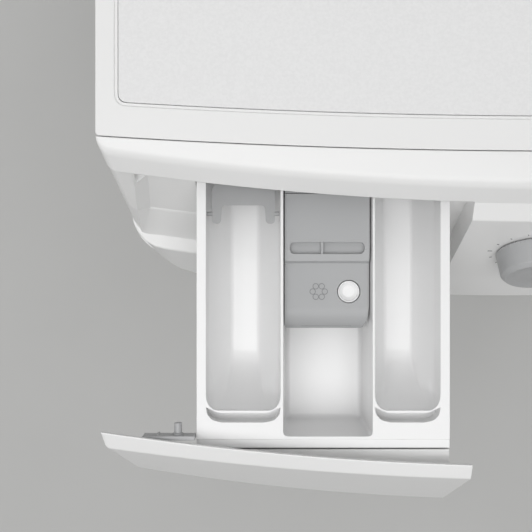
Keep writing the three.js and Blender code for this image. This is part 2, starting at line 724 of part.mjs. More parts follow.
function sidePanel(name, sign) {
  const low = FOOT_HEIGHT + 4;
  const frontLow = FRONT_FACE + WRAP + GAP;
  const outline = [
    [frontLow, low],
    [frontLow, UNDERSIDE - GAP],
    [PANEL_REAR + GAP, UNDERSIDE - GAP],
    [PANEL_REAR + GAP, WORKTOP_BASE - GAP],
    [DEPTH - 1, WORKTOP_BASE - GAP],
    [DEPTH - 1, low],
  ];
  const span = (inner, outer) => (sign > 0 ? [inner, outer] : [-outer, -inner]);
  const plate = side(outline, span(HALF - SHEET, HALF));
  const flange = box(
    span(HALF - 14, HALF - SHEET / 2),
    [BACK + GAP, BACK + GAP + SHEET],
    [low, WORKTOP_BASE - GAP]
  );
  return piece(name, join(plate, flange), WHITE);
}

const INLET = { x: FILL.x, z: HOUSING_TOP - 35 };
const OUTLET = { x: HALF - 60, z: WORKTOP_BASE - 70 };
const GLAND = { x: HALF - 60, z: WORKTOP_BASE - 180 };
const ACCESS = { half: TUB_RADIUS - 76, low: 180, high: AXIS_Z + PULLEY + 30 };

function rearPanel() {
  const plate = box(
    [-HALF + SHEET + GAP, HALF - SHEET - GAP],
    [BACK - SHEET, BACK],
    [FOOT_HEIGHT + 16, WORKTOP_BASE - GAP]
  );
  const rim = 14;
  const reach = ACCESS.half - rim;
  const access = box([-reach, reach], [0, DEPTH], [ACCESS.low + rim, ACCESS.high - rim]);
  const holes = [
    rodY(14, [BACK - 10, BACK + 10], INLET.x, INLET.z),
    rodY(16, [BACK - 10, BACK + 10], OUTLET.x, OUTLET.z),
    rodY(9, [BACK - 10, BACK + 10], GLAND.x, GLAND.z),
  ];
  return piece("rear_panel", cut(plate, access, ...holes), STEEL);
}

// Pressed cover over the belt and pulley, with a raised middle.
function rearAccessCover() {
  const { half, low, high } = ACCESS;
  const back = BACK + GAP;
  const rim = 34;
  const plate = box([-half, half], [back, back + SHEET], [low, high]);
  const raised = box([-half + rim, half - rim], [back, back + 9], [low + rim, high - rim]);
  const hollow = box(
    [-half + rim + SHEET, half - rim - SHEET],
    [back - 1, back + 9 - SHEET],
    [low + rim + SHEET, high - rim - SHEET]
  );
  return piece("rear_access_cover", cut(join(plate, raised), hollow), STEEL);
}

const FEET = [-1, 1].flatMap((sx) => [70, BACK - 50].map((back) => ({ x: sx * (HALF - 45), back })));

function baseTray() {
  const across = HALF - SHEET - 0.8;
  const front = FRONT_FACE + WRAP + GAP;
  const top = FOOT_HEIGHT + BASE_HIGH;
  const rear = BACK - SHEET - GAP;
  const body = box([-across, across], [front, rear], [FOOT_HEIGHT, top]);
  const hollow = box([-across + 2, across - 2], [front + 2, rear - 2], [FOOT_HEIGHT + 2.5, top + 1]);
  const holes = FEET.map(({ x, back }) => rodZ(STEM_RADIUS + 0.4, [0, top], x, back, 16));
  return piece("base_tray", cut(body, hollow, ...holes), DARK);
}

function foot(name, { x, back }) {
  const profile = [
    [0, 0],
    [FOOT_RADIUS - 2, 0],
    [FOOT_RADIUS, 2],
    [FOOT_RADIUS - 3, 9],
    [STEM_RADIUS + 4, 12],
    [STEM_RADIUS + 4, 17],
    [STEM_RADIUS, 17],
    [STEM_RADIUS, FOOT_HEIGHT + 20],
    [0, FOOT_HEIGHT + 20],
  ];
  const made = piece(name, turnedZ(profile, 16), DARK);
  made.position.set(x, FRONT + back, 0);
  return made;
}

// ---------------------------------------------------------------- door
const LATCH_X = DOOR_RADIUS - 26;

function doorFrame() {
  const rearFace = FRONT_FACE - 1.5;
  const ring = turned(
    [
      [DOOR_RADIUS, rearFace],
      [DOOR_RADIUS, 2],
      [DOOR_RADIUS - 10, -8],
      [DOOR_RADIUS - 38, DOOR_FRONT],
      [WINDOW + 5, DOOR_FRONT + 1],
      [WINDOW, DOOR_FRONT + 6],
      [WINDOW, 6],
      [DOOR_RADIUS - 6, 6],
      [DOOR_RADIUS - 6, rearFace],
    ],
    40
  );
  const gripHalf = 44;
  const gripHigh = [AXIS_Z - gripHalf, AXIS_Z + gripHalf];
  const grip = box([DOOR_RADIUS - 14, DOOR_RADIUS + 5], [-2, FRONT_FACE], gripHigh);
  const strap = box(
    [-DOOR_RADIUS - 5, -DOOR_RADIUS + 18],
    [HINGE_Y - KNUCKLE - 1, FRONT_FACE],
    [AXIS_Z - HINGE_HALF - 1, AXIS_Z + HINGE_HALF + 1]
  );
  return piece("door_frame", cut(ring, grip, strap), WHITE);
}

function doorInnerRing() {
  const front = 6 + GAP;
  const ring = turned(
    [
      [DOOR_RADIUS - 6 - GAP, front],
      [DOOR_RADIUS - 6 - GAP, FRONT_FACE - 1.5],
      [WINDOW + 26, FRONT_FACE - 1.5],
      [WINDOW + 26, front],
    ],
    40
  );
  const strap = box(
    [-DOOR_RADIUS - 5, -DOOR_RADIUS + 24],
    [0, FRONT_FACE],
    [AXIS_Z - HINGE_HALF - 1, AXIS_Z + HINGE_HALF + 1]
  );
  const latch = box([LATCH_X - 8, LATCH_X + 40], [0, FRONT_FACE], [AXIS_Z - 45, AXIS_Z + 45]);
  return piece("door_inner_ring", cut(ring, strap, latch), GREY);
}

function doorGlass() {
  const flange = 6 + GAP;
  return piece(
    "door_glass",
    turned(
      [
        [0, BOWL_DEEP],
        [WINDOW - 44, BOWL_DEEP],
        [WINDOW - 28, BOWL_DEEP - 10],
        [WINDOW - 10, flange + 24],
        [WINDOW - 4, flange + GLASS],
        [WINDOW + 25, flange + GLASS],
        [WINDOW + 25, flange],
        [WINDOW - 7, flange],
        [WINDOW - 14, flange + 22],
        [WINDOW - 32, BOWL_DEEP - 13],
        [WINDOW - 46, BOWL_DEEP - GLASS],
        [0, BOWL_DEEP - GLASS],
      ],
      40
    ),
    CLEAR
  );
}

function doorHingeArm() {
  const high = [AXIS_Z - HINGE_HALF, AXIS_Z + HINGE_HALF];
  const knuckle = rodZ(KNUCKLE, high, HINGE_X, HINGE_Y, 20);
  const strap = box([HINGE_X, -DOOR_RADIUS + 23.5], [6 + GAP, FRONT_FACE - 6.5], high);
  const bore = rodZ(PIN + 0.4, [high[0] - 1, high[1] + 1], HINGE_X, HINGE_Y, 20);
  return piece("door_hinge_arm", cut(join(knuckle, strap), bore), STEEL);
}

function doorHinge() {
  const ear = (z0) => {
    const span = [z0, z0 + 8];
    const round = rodZ(KNUCKLE, span, HINGE_X, HINGE_Y, 20);
    return join(round, box([HINGE_X - KNUCKLE, HINGE_X + KNUCKLE], [HINGE_Y, FRONT_FACE - 1.5], span));
  };
  const far = AXIS_Z + HINGE_HALF + GAP;
  const lower = AXIS_Z - HINGE_HALF - GAP - 8;
  const pin = rodZ(PIN, [lower + 1, far + 7], HINGE_X, HINGE_Y, 20);
  const wide = [HINGE_X - 8, HINGE_X + 8];
  const plate = box(wide, [FRONT_FACE - 3.5, FRONT_FACE - GAP], [lower - 12, far + 20]);
  return piece("door_hinge", join(ear(lower), ear(far), pin, plate), STEEL);
}

function doorLatch() {
  const outline = [
    [LATCH_X - 4, 8],
    [LATCH_X + 3, 8],
    [LATCH_X + 3, 30],
    [LATCH_X + 8, 30],
    [LATCH_X + 3, 37],
    [LATCH_X - 4, 37],
  ];
  return piece("door_latch", slab(outline, [AXIS_Z - 8, AXIS_Z + 8]), STEEL);
}

function doorLock() {
  const front = FRONT_FACE + FRONT_DEEP + GAP;
  const body = box([LATCH_X - 14, LATCH_X + 17], [front, 62], [AXIS_Z - 30, AXIS_Z + 30]);
  const mouth = box([LATCH_X - 9, LATCH_X + 12], [0, 50], [AXIS_Z - 12, AXIS_Z + 12]);
  return piece("door_lock", cut(body, mouth), DARK);
}

function doorGasket() {
  const front = FRONT_FACE + SHEET + GAP;
  const rear = TUB_FRONT - GAP;
  const neck = TUB_FRONT - COLLAR - 1;
  return piece(
    "door_gasket",
    turned([
      [MOUTH + 6, front],
      [MOUTH + 6, front + 4],
      [MOUTH, front + 6],
      [MOUTH + 2, 42],
      [MOUTH - 8, 54],
      [MOUTH + 2, 66],
      [MOUTH - 1, neck],
      [MOUTH - 2, rear],
      [MOUTH - 8, rear],
      [MOUTH - 8, neck],
      [MOUTH - 4, 66],
      [MOUTH - 14, 54],
      [MOUTH - 4, 42],
      [MOUTH - 6, front + 9],
      [MOUTH - 18, front + 6],
      [MOUTH - 18, front + 3],
      [MOUTH - 4, front],
    ]),
    RUBBER
  );
}

// ---------------------------------------------------------------- tub
const SUMP = { x: 0, back: TUB_FRONT + 60 };
const collarOuter = MOUTH - 8 - GAP;
const HOSE_FOLD = 22; // radius of the fill hose at its folds
const FILL_TOP = tubTop(Math.abs(FILL.x) - HOSE_FOLD) + 4; // top of the tub's filling stub

function tubFront() {
  const inside = TUB_RADIUS - TUB_WALL;
  const shell = turned([
    [inside, TUB_SPLIT - 0.3],
    [TUB_RADIUS + FLANGE, TUB_SPLIT - 0.3],
    [TUB_RADIUS + FLANGE, TUB_SPLIT - 6],
    [TUB_RADIUS, TUB_SPLIT - 6],
    [TUB_RADIUS, TUB_FRONT + 6],
    [TUB_RADIUS - 6, TUB_FRONT],
    [collarOuter, TUB_FRONT],
    [collarOuter, TUB_FRONT - COLLAR],
    [collarOuter - 3.5, TUB_FRONT - COLLAR],
    [collarOuter - 3.5, TUB_FRONT + TUB_WALL],
    [inside - 4, TUB_FRONT + TUB_WALL],
    [inside, TUB_FRONT + TUB_WALL + 4],
  ]);
  const stub = rodZ(18, [AXIS_Z, FILL_TOP], FILL.x, FILL.back);
  const bore = rodZ(14, [AXIS_Z, FILL_TOP + 1], FILL.x, FILL.back);
  const inner = rodY(TUB_RADIUS - 1, [TUB_FRONT - 5, TUB_SPLIT + 5], 0, AXIS_Z, 32);
  const sumpHole = rodZ(20, [0, AXIS_Z - DRUM_RADIUS], SUMP.x, SUMP.back);
  return piece("tub_front", cut(join(shell, cut(stub, inner)), bore, sumpHole), TUB);
}

// Height of the tub's outside above x.
function tubTop(x) {
  return AXIS_Z + Math.sqrt(TUB_RADIUS ** 2 - x ** 2);
}

function tubRear() {
  const inside = TUB_RADIUS - TUB_WALL;
  return piece(
    "tub_rear",
    turned([
      [inside, TUB_SPLIT + 0.3],
      [TUB_RADIUS + FLANGE, TUB_SPLIT + 0.3],
      [TUB_RADIUS + FLANGE, TUB_SPLIT + 6],
      [TUB_RADIUS, TUB_SPLIT + 6],
      [TUB_RADIUS, TUB_BACK - 8],
      [TUB_RADIUS - 10, TUB_BACK],
      [BEARING + 9, TUB_BACK],
      [BEARING + 9, PULLEY_FRONT - 8],
      [BEARING + GAP, PULLEY_FRONT - 8],
      [BEARING + GAP, DRUM_BACK + 17],
      [BEARING + 6, DRUM_BACK + 17],
      [BEARING + 6, TUB_BACK - TUB_WALL],
      [inside - 8, TUB_BACK - TUB_WALL],
      [inside, TUB_BACK - TUB_WALL - 6],
    ]),
    TUB
  );
}

function bearing(name, back) {
  const ring = turned(
    [
      [SHAFT + 0.4, back],
      [BEARING, back],
      [BEARING, back + BEARING_WIDE],
      [SHAFT + 0.4, back + BEARING_WIDE],
    ],
    24
  );
  return piece(name, ring, STEEL);
}

function frontCounterweight() {
  const back = TUB_FRONT - GAP;
  const outer = TUB_RADIUS - 10;
  const ring = turned([
    [MOUTH + 8, back - 22],
    [outer, back - 22],
    [outer, back],
    [MOUTH + 8, back],
  ]);
  return piece("front_counterweight", ring, CONCRETE);
}

const WEIGHT_HALF = 150;

function topCounterweight() {
  const top = HOUSING_BASE - 6;
  const block = box([-WEIGHT_HALF, WEIGHT_HALF], [HOUSING_REAR + 12, TUB_BACK - 22], [AXIS_Z, top]);
  const under = rodY(TUB_RADIUS + 1, [TUB_FRONT, TUB_BACK + 10], 0, AXIS_Z, 32);
  const flange = rodY(TUB_RADIUS + FLANGE + 1, [TUB_SPLIT - 8, TUB_SPLIT + 8], 0, AXIS_Z, 32);
  return piece("top_counterweight", cut(block, under, flange), CONCRETE);
}

// Coil spring, drawn as a ridged rod with an eye at each end.
function tubSpring(name, sign) {
  const low = AXIS_Z + TUB_RADIUS * 0.78;
  const high = WORKTOP_BASE - 40;
  const turns = 6;
  const pitch = (high - low) / turns;
  const profile = [[0, low]];
  for (let i = 0; i < turns; i++) {
    profile.push([6, low + i * pitch], [9, low + (i + 0.5) * pitch]);
  }
  profile.push([6, high], [0, high]);
  const made = piece(name, turnedZ(profile, 8), STEEL);
  made.position.set(sign * (TUB_RADIUS - 16), FRONT + HOUSING_REAR + 12, 0);
  return made;
}

// Friction damper between the tub and the base: a tube with a thinner rod above it.
function damper(name, sign) {
  const low = FOOT_HEIGHT + 4;
  const x = TUB_RADIUS * 0.75;
  const rod = 5;
  const high = AXIS_Z - Math.sqrt(TUB_RADIUS ** 2 - (x - rod) ** 2) - 1;
  const profile = [
    [0, low],
    [13, low],
    [13, low + (high - low) * 0.6],
    [rod, low + (high - low) * 0.6],
    [rod, high],
    [0, high],
  ];
  const made = piece(name, turnedZ(profile, 16), DARK);
  made.position.set(sign * x, FRONT + TUB_SPLIT + 30, 0);
  return made;
}

function heater() {
  const radius = TUB_RADIUS - TUB_WALL - DRUM_ROOM / 2 - 1;
  const x = 25;
  const z = AXIS_Z - Math.sqrt(radius ** 2 - x ** 2);
  const rear = TUB_BACK - TUB_WALL - 3;
  const front = rear - 160;
  const path = [
    [-x, rear, z],
    [-x, front + 60, z],
    [-x, front + 20, z],
    [0, front - 5, z],
    [x, front + 20, z],
    [x, front + 60, z],
    [x, rear, z],
  ];
  return piece("heater", tube(path, 3.5, 24, 3), STEEL);
}

// ---------------------------------------------------------------- drum and drive
function drumShell() {
  const lip = collarOuter - 8;
  const wallThick = SHEET;
  return piece(
    "drum_shell",
    turned(
      [
        [lip, DRUM_FRONT - 3],
        [lip + 6, DRUM_FRONT - 3],
        [DRUM_RADIUS - 8, DRUM_FRONT],
        [DRUM_RADIUS, DRUM_FRONT + 8],
        [DRUM_RADIUS, DRUM_BACK - 4],
        [DRUM_RADIUS - wallThick, DRUM_BACK - 4],
        [DRUM_RADIUS - wallThick, DRUM_FRONT + 9],
        [DRUM_RADIUS - 9, DRUM_FRONT + wallThick],
        [lip + 6, DRUM_FRONT - 3 + wallThick],
        [lip + wallThick, DRUM_FRONT + 6],
        [lip, DRUM_FRONT + 6],
      ],
      32
    ),
    STEEL
  );
}

function drumBack() {
  const disc = turned([
    [0, DRUM_BACK - 3],
    [DRUM_RADIUS, DRUM_BACK - 3],
    [DRUM_RADIUS, DRUM_BACK - 1],
    [0, DRUM_BACK - 1],
  ]);
  return piece("drum_back", disc, STEEL);
}

// Three-armed spider and the shaft that carries the drum.
function drumShaft() {
  const front = DRUM_BACK - 0.5;
  const arm = new THREE.BoxGeometry(DRUM_RADIUS - 14, 12, 26);
  arm.translate((DRUM_RADIUS - 14) / 2, FRONT + front + 6, 0);
  const arms = [0, 1, 2].map((i) => {
    const copy = arm.clone().rotateY((-i * 2 * Math.PI) / 3 - Math.PI / 2);
    return solid(copy.translate(0, 0, AXIS_Z));
  });
  const hub = rodY(28, [front, front + 14], 0, AXIS_Z);
  const shaft = rodY(SHAFT, [front, PULLEY_FRONT + PULLEY_WIDE + 6], 0, AXIS_Z, 32);
  return piece("drum_shaft", join(hub, shaft, ...arms), STEEL);
}

// Paddle on the inside of the drum, drawn at the bottom and turned to its place.
function lifter(name, turn) {
  const foot0 = -DRUM_RADIUS + SHEET + 3;
  const outline = [
    [-28, foot0],
    [28, foot0],
    [9, foot0 + LIFTER_HIGH - 6],
    [0, foot0 + LIFTER_HIGH],
    [-9, foot0 + LIFTER_HIGH - 6],
  ];
  const long = DRUM_BACK - 12 - (DRUM_FRONT + 16);
  const geometry = new THREE.ExtrudeGeometry(shapeOf(outline), { depth: long, bevelEnabled: false });
  const made = piece(name, solid(geometry.rotateX(Math.PI / 2)), GREY);
  made.position.set(0, FRONT + DRUM_BACK - 12, AXIS_Z);
  made.rotation.y = turn;
  return made;
}

function drumPulley() {
  const end = PULLEY_FRONT + PULLEY_WIDE;
  const rim = turned(
    [
      [PULLEY, PULLEY_FRONT],
      [PULLEY, end],
      [PULLEY - 5, end],
      [PULLEY - 5, PULLEY_FRONT],
    ],
    32
  );
  const hub = rodY(SHAFT + 10, [PULLEY_FRONT, end], 0, AXIS_Z);
  const spokes = [0, 1, 2, 3, 4].map((i) => {
    const bar = new THREE.BoxGeometry(PULLEY - 16, 8, 20).translate(PULLEY / 2 + 4, 0, 0);
    bar.rotateY((i * 2 * Math.PI) / 5);
    return solid(bar.translate(0, FRONT + (PULLEY_FRONT + end) / 2, AXIS_Z));
  });
  const bore = rodY(SHAFT + 0.4, [PULLEY_FRONT - 1, end + 1], 0, AXIS_Z, 32);
  return piece("drum_pulley", cut(join(rim, hub, ...spokes), bore), STEEL);
}

function motor() {
  const rear = PULLEY_FRONT - 10;
  const body = turned(
    [
      [0, rear - MOTOR_LONG],
      [MOTOR_RADIUS - 6, rear - MOTOR_LONG],
      [MOTOR_RADIUS, rear - MOTOR_LONG + 10],
      [MOTOR_RADIUS, rear - 10],
      [MOTOR_RADIUS - 8, rear],
      [0, rear],
    ],
    28,
    MOTOR_X,
    MOTOR_Z
  );
  return piece("motor", body, STEEL);
}

function motorPulley() {
  const end = PULLEY_FRONT + PULLEY_WIDE;
  const profile = [
    [0, PULLEY_FRONT - 9],
    [6, PULLEY_FRONT - 9],
    [6, PULLEY_FRONT - 2],
    [MOTOR_PULLEY, PULLEY_FRONT - 2],
    [MOTOR_PULLEY, end + 2],
    [0, end + 2],
  ];
  return piece("motor_pulley", turned(profile, 24, MOTOR_X, MOTOR_Z), STEEL);
}

// The belt's loop round both pulleys, at a distance off their rims, as [x, z] points.
function beltLoop(off) {
  const span = Math.hypot(MOTOR_X, AXIS_Z - MOTOR_Z);
  const along = Math.atan2(MOTOR_Z - AXIS_Z, MOTOR_X);
  const big = PULLEY + off;
  const small = MOTOR_PULLEY + off;
  const lean = Math.acos((big - small) / span);
  const points = [];
  const arc = (x, z, radius, from, to, count) => {
    for (let i = 0; i <= count; i++) {
      const angle = from + ((to - from) * i) / count;
      points.push([x + radius * Math.cos(angle), z + radius * Math.sin(angle)]);
    }
  };
  arc(0, AXIS_Z, big, along + lean, along + 2 * Math.PI - lean, 32);
  arc(MOTOR_X, MOTOR_Z, small, along - lean, along + lean, 8);
  return points;
}

function driveBelt() {
  const margin = PULLEY_WIDE / 2 - 7;
  const spanBack = [PULLEY_FRONT + margin, PULLEY_FRONT + PULLEY_WIDE - margin];
  const shape = shapeOf(beltLoop(BELT_GAP + BELT + 1));
  shape.holes.push(new THREE.Path(beltLoop(BELT_GAP + 1).map(([x, z]) => new THREE.Vector2(x, z))));
  const depth = spanBack[1] - spanBack[0];
  const geometry = new THREE.ExtrudeGeometry(shape, { depth, bevelEnabled: false });
  geometry.rotateX(Math.PI / 2).translate(0, FRONT + spanBack[1], 0);
  return piece("drive_belt", solid(geometry), DARK);
}

// ---------------------------------------------------------------- water and power
function inletValve() {
  const body = box([INLET.x - 18, INLET.x + 18], [BACK - 46, BACK - 6], [INLET.z - 16, INLET.z + 16]);
  const stub = rodY(13, [BACK - 8, DEPTH], INLET.x, INLET.z, 20);
  const bore = rodY(8, [BACK, DEPTH + 1], INLET.x, INLET.z, 16);
  const pipe = rodY(8, [HOUSING_REAR + GAP, BACK - 45], INLET.x, INLET.z, 16);
  return piece("inlet_valve", cut(join(body, stub, pipe), bore), TUB);
}

function fillHose() {
  const low = FILL_TOP + GAP;
  const high = HOUSING_BASE - 15 - GAP;
  const folds = 3;
  const pitch = (high - low) / folds;
  const outer = [];
  for (let i = 0; i < folds; i++) outer.push([18, low + i * pitch], [HOSE_FOLD, low + (i + 0.5) * pitch]);
  outer.push([18, high]);
  const inner = [...outer].reverse().map(([r, z]) => [r - 3, z]);
  const made = piece("fill_hose", turnedZ([...outer, ...inner], 12), RUBBER);
  made.position.set(FILL.x, FRONT + FILL.back, 0);
  return made;
}

function drainPump() {
  const front = PUMP_FRONT;
  const body = rodY(PUMP_RADIUS, [front, front + PUMP_LONG], PUMP_X, PUMP_Z, 28);
  const bore = rodY(FILTER_RADIUS + 0.5, [front - 1, front + 62], PUMP_X, PUMP_Z, 28);
  const top = AXIS_Z - TUB_RADIUS + 1;
  const neck = tube(
    [
      [PUMP_X - PUMP_RADIUS + 6, front + 80, PUMP_Z - 8],
      [PUMP_X - 90, front + 88, PUMP_Z - 25],
      [SUMP.x + 40, SUMP.back - 6, FOOT_HEIGHT + 38],
      [SUMP.x, SUMP.back, top - 34],
      [SUMP.x, SUMP.back, top - 4],
    ],
    16,
    14,
    5
  );
  return piece("drain_pump", cut(join(body, neck), bore), DARK);
}

function pumpFilter() {
  const front = FRONT_FACE + 5;
  const disc = rodY(FILTER_RADIUS, [front + 6, front + 16], PUMP_X, PUMP_Z, 28);
  const core = rodY(FILTER_RADIUS - 6, [front + 15, front + 64], PUMP_X, PUMP_Z, 16);
  const bar = box([PUMP_X - 4, PUMP_X + 4], [front, front + 7], [PUMP_Z - 18, PUMP_Z + 18]);
  return piece("pump_filter", join(disc, core, bar), TUB);
}

function filterFlap() {
  const body = box(
    [PUMP_X - FLAP_HALF, PUMP_X + FLAP_HALF],
    [FRONT_FACE, FRONT_FACE + SKIN],
    [HATCH_LOW + GAP, HATCH_HIGH - GAP]
  );
  return piece("filter_flap", body, WHITE);
}

// Outlet pipe from the pump, along the right side and out through the rear panel.
function drainHose() {
  const x = HALF - 21;
  const start = PUMP_FRONT + PUMP_LONG + 2;
  const path = [
    [PUMP_X + 12, start, PUMP_Z],
    [PUMP_X + 12, start + 10, PUMP_Z],
    [PUMP_X + 30, start + 40, PUMP_Z],
    [x, start + 100, PUMP_Z - 5],
    [x, BACK - 130, PUMP_Z + 10],
    [x - 3, BACK - 60, PUMP_Z + 90],
    [x - 6, BACK - 50, OUTLET.z - 120],
    [OUTLET.x + 8, BACK - 45, OUTLET.z - 12],
    [OUTLET.x, BACK - 14, OUTLET.z],
  ];
  const pipe = tube(path, 9, 30, 4);
  const spigot = rodY(11, [BACK - 24, DEPTH - 4], OUTLET.x, OUTLET.z, 16);
  return piece("drain_hose", join(pipe, spigot), DARK);
}

function cordGland() {
  const gland = turned(
    [
      [0, BACK - 8],
      [8, BACK - 8],
      [8, BACK + GAP],
      [12, BACK + GAP],
      [12, BACK + 4],
      [7, BACK + 12],
      [0, BACK + 12],
    ],
    16,
    GLAND.x,
    GLAND.z
  );
  return piece("cord_gland", gland, DARK);
}

// ---------------------------------------------------------------- assembly
function grouped(...meshes) {
  const group = new THREE.Group();
  group.add(...meshes);
  return group;
}

const drawer = grouped(drawerTray(), drawerFascia(), drawerBracket(), softenerCap(), detergentFlap());
drawer.position.y = -DRAWER_TRAVEL;

const lifters = [1, 2, 3].map((i) => lifter(`drum_lifter_${i}`, (i - 1) * ((2 * Math.PI) / 3)));
const drum = grouped(drumShell(), drumBack(), drumShaft(), drumPulley(), ...lifters);
const door = grouped(doorFrame(), doorGlass(), doorInnerRing(), doorHingeArm(), doorLatch());
const feet = ["front_left", "rear_left", "front_right", "rear_right"].map((place, i) =>
  foot(`foot_${place}`, FEET[i])
);

const machine = grouped(
  worktopFrame(),
  worktopBoard(),
  controlPanel(),
  displayLens(),
  frontPanel(),
  sidePanel("left_side_panel", -1),
  sidePanel("right_side_panel", 1),
  rearPanel(),
  rearAccessCover(),
  baseTray(),
  dispenserHousing(),
  dispenserCover(),
  inletValve(),
  fillHose(),
  doorLock(),
  doorHinge(),
  doorGasket(),
  tubFront(),
  tubRear(),
  bearing("front_bearing", DRUM_BACK + 18),
  bearing("rear_bearing", PULLEY_FRONT - 9 - BEARING_WIDE),
  frontCounterweight(),
  topCounterweight(),
  tubSpring("spring_left", -1),
  tubSpring("spring_right", 1),
  damper("damper_left", -1),
  damper("damper_right", 1),
  heater(),
  motor(),
  motorPulley(),
  driveBelt(),
  drainPump(),
  drainHose(),
  cordGland(),
  programmeKnob(),
  button("power_button", POWER_X, GREY),
  button("start_button", START_X, GREY),
  filterFlap(),
  pumpFilter(),
  drawer,
  drum,
  door,
  ...feet
);

export default machine;
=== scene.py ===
"""Front-loading washing machine with its dispenser drawer drawn out: the finished surfaces, built round the
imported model. Metres, +X to the machine's right, +Y to its back, +Z up."""
import math

import bmesh
import bpy
from mathutils import Matrix, Vector


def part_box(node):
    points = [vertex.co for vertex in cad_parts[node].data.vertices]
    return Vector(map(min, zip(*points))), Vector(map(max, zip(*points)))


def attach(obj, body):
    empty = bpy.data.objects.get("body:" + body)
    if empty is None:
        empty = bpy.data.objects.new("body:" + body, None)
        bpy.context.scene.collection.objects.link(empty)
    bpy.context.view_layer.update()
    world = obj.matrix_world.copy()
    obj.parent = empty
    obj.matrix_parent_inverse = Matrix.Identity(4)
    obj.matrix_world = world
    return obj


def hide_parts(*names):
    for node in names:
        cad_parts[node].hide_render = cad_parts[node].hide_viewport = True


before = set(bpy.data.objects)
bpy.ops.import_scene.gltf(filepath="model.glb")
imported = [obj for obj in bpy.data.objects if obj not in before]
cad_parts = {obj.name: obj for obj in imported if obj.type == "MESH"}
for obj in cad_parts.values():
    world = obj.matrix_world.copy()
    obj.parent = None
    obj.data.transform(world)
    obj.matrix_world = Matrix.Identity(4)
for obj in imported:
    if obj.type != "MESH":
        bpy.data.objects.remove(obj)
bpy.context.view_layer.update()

# ---- sizes
DEPTH = 0.583
DRAWER_TRAVEL = 0.170
GAP = 0.0005
SHEET = 0.0012
WORKTOP_THICK = 0.024
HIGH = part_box("worktop_frame")[1]
HALF = HIGH.x
HEIGHT = HIGH.z
FRONT = HIGH.y - DEPTH  # drawer front's lower edge at mid-width, drawer shut
WORKTOP_BASE = HEIGHT - WORKTOP_THICK
UNDERSIDE = HEIGHT - 0.161
PANEL_REAR = 0.099
FASCIA_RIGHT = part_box("drawer_fascia")[1].x
TRAY_LOW, TRAY_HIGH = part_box("drawer_tray")
TRAY_LEFT, TRAY_RIGHT = TRAY_LOW.x, TRAY_HIGH.x
TRAY_BASE, RIM_Z = TRAY_LOW.z, TRAY_HIGH.z
TRAY_FRONT = TRAY_LOW.y - FRONT + DRAWER_TRAVEL  # with the drawer shut
AXIS_Z = sum(corner.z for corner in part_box("tub_front")) / 2
PI = math.pi


class Line:
    """A line that the control panel's surface turns at: how far it is ahead of the drawer front's lower edge,
    its height, how far it falls back at the sides, its corner's radius and how far in its ends are."""

    def __init__(self, ahead, z, bow, corner=0.0, inset=0.0):
        self.ahead, self.z, self.bow, self.corner, self.inset = ahead, z, bow, corner, inset

    def near(self, ahead=0.0, up=0.0):
        return Line(self.ahead + ahead, self.z + up, self.bow, self.corner, self.inset)

    def towards(self, other, t):
        pairs = zip(vars(self).values(), vars(other).values())
        return Line(*(p * (1 - t) + q * t for p, q in pairs))

    def at(self, x, shift=0.0):
        """The point of the line at station x, its ends drawn in."""
        margin = 0.06
        past = max(0.0, abs(x) - (HALF - margin)) / margin
        px = x - math.copysign(self.inset * past * past, x)
        end = HALF - self.inset
        over = min(self.corner, max(0.0, abs(px) - (end - self.corner)))
        rounding = self.corner - math.sqrt(max(0.0, self.corner**2 - over**2))
        return Vector((px + shift, FRONT - self.ahead + self.bow * (px / HALF) ** 2 + rounding, self.z))


def level(back, z, inset=0.0):
    return Line(-back, z, 0.0, 0.0, inset)


SEAM = Line(-0.0803, HEIGHT, 0.0097)
CREASE = Line(-0.059, HEIGHT - 0.0022, 0.0222, 0.008)
LIP = Line(-0.0483, HEIGHT - 0.017, 0.0223, 0.008, 0.0035)
BROW = Line(-0.037, HEIGHT - 0.024, 0.0216, 0.006, 0.004)
LEDGE = Line(0.0, HEIGHT - 0.1195, 0.0261, 0.022, 0.006)
CHIN = Line(0.0164, HEIGHT - 0.157, 0.0261, 0.048, 0.006)
WELL = Line(-0.0103, LEDGE.z, 0.0261, 0.014, 0.006)
RIB = Line(-0.0317, HEIGHT - 0.089, 0.0223, 0.008, 0.004)
RECESS_TOP = Line(-0.051, HEIGHT - 0.037, 0.0223, 0.006, 0.004)


# ---- mesh work
def shown(name, data):
    obj = bpy.data.objects.new(name, data)
    bpy.context.scene.collection.objects.link(obj)
    return obj


def made(name, verts, faces):
    mesh = bpy.data.meshes.new(name)
    mesh.from_pydata([tuple(v) for v in verts], [], faces)
    return tidied(shown(name, mesh))


def about(middle, half):
    return middle - half, middle + half


def turns(count):
    return [2 * PI * i / count for i in range(count)]


def spread(start, end, count):
    """Evenly spaced places from start to end."""
    return [start + (end - start) * i / count for i in range(count + 1)]


def tidied(obj, reach=1e-6):
    """Joins coincident points and turns the faces outwards."""
    work = bmesh.new()
    work.from_mesh(obj.data)
    bmesh.ops.remove_doubles(work, verts=work.verts, dist=reach)
    bmesh.ops.recalc_face_normals(work, faces=work.faces)
    work.to_mesh(obj.data)
    work.free()
    return obj


def loft(name, rings, closed_on_itself=False):
    """A closed skin through rings of equally many points, capped at both ends."""
    count = len(rings[0])
    verts = [p for ring in rings for p in ring]
    faces = []
    spans = len(rings) if closed_on_itself else len(rings) - 1
    for i in range(spans):
        a, b = i * count, ((i + 1) % len(rings)) * count
        for j in range(count):
            k = (j + 1) % count
            faces.append((a + j, b + j, b + k, a + k))
    if not closed_on_itself:
        faces.append(tuple(range(count)))
        faces.append(tuple(reversed(range(len(verts) - count, len(verts)))))
    return made(name, verts, faces)


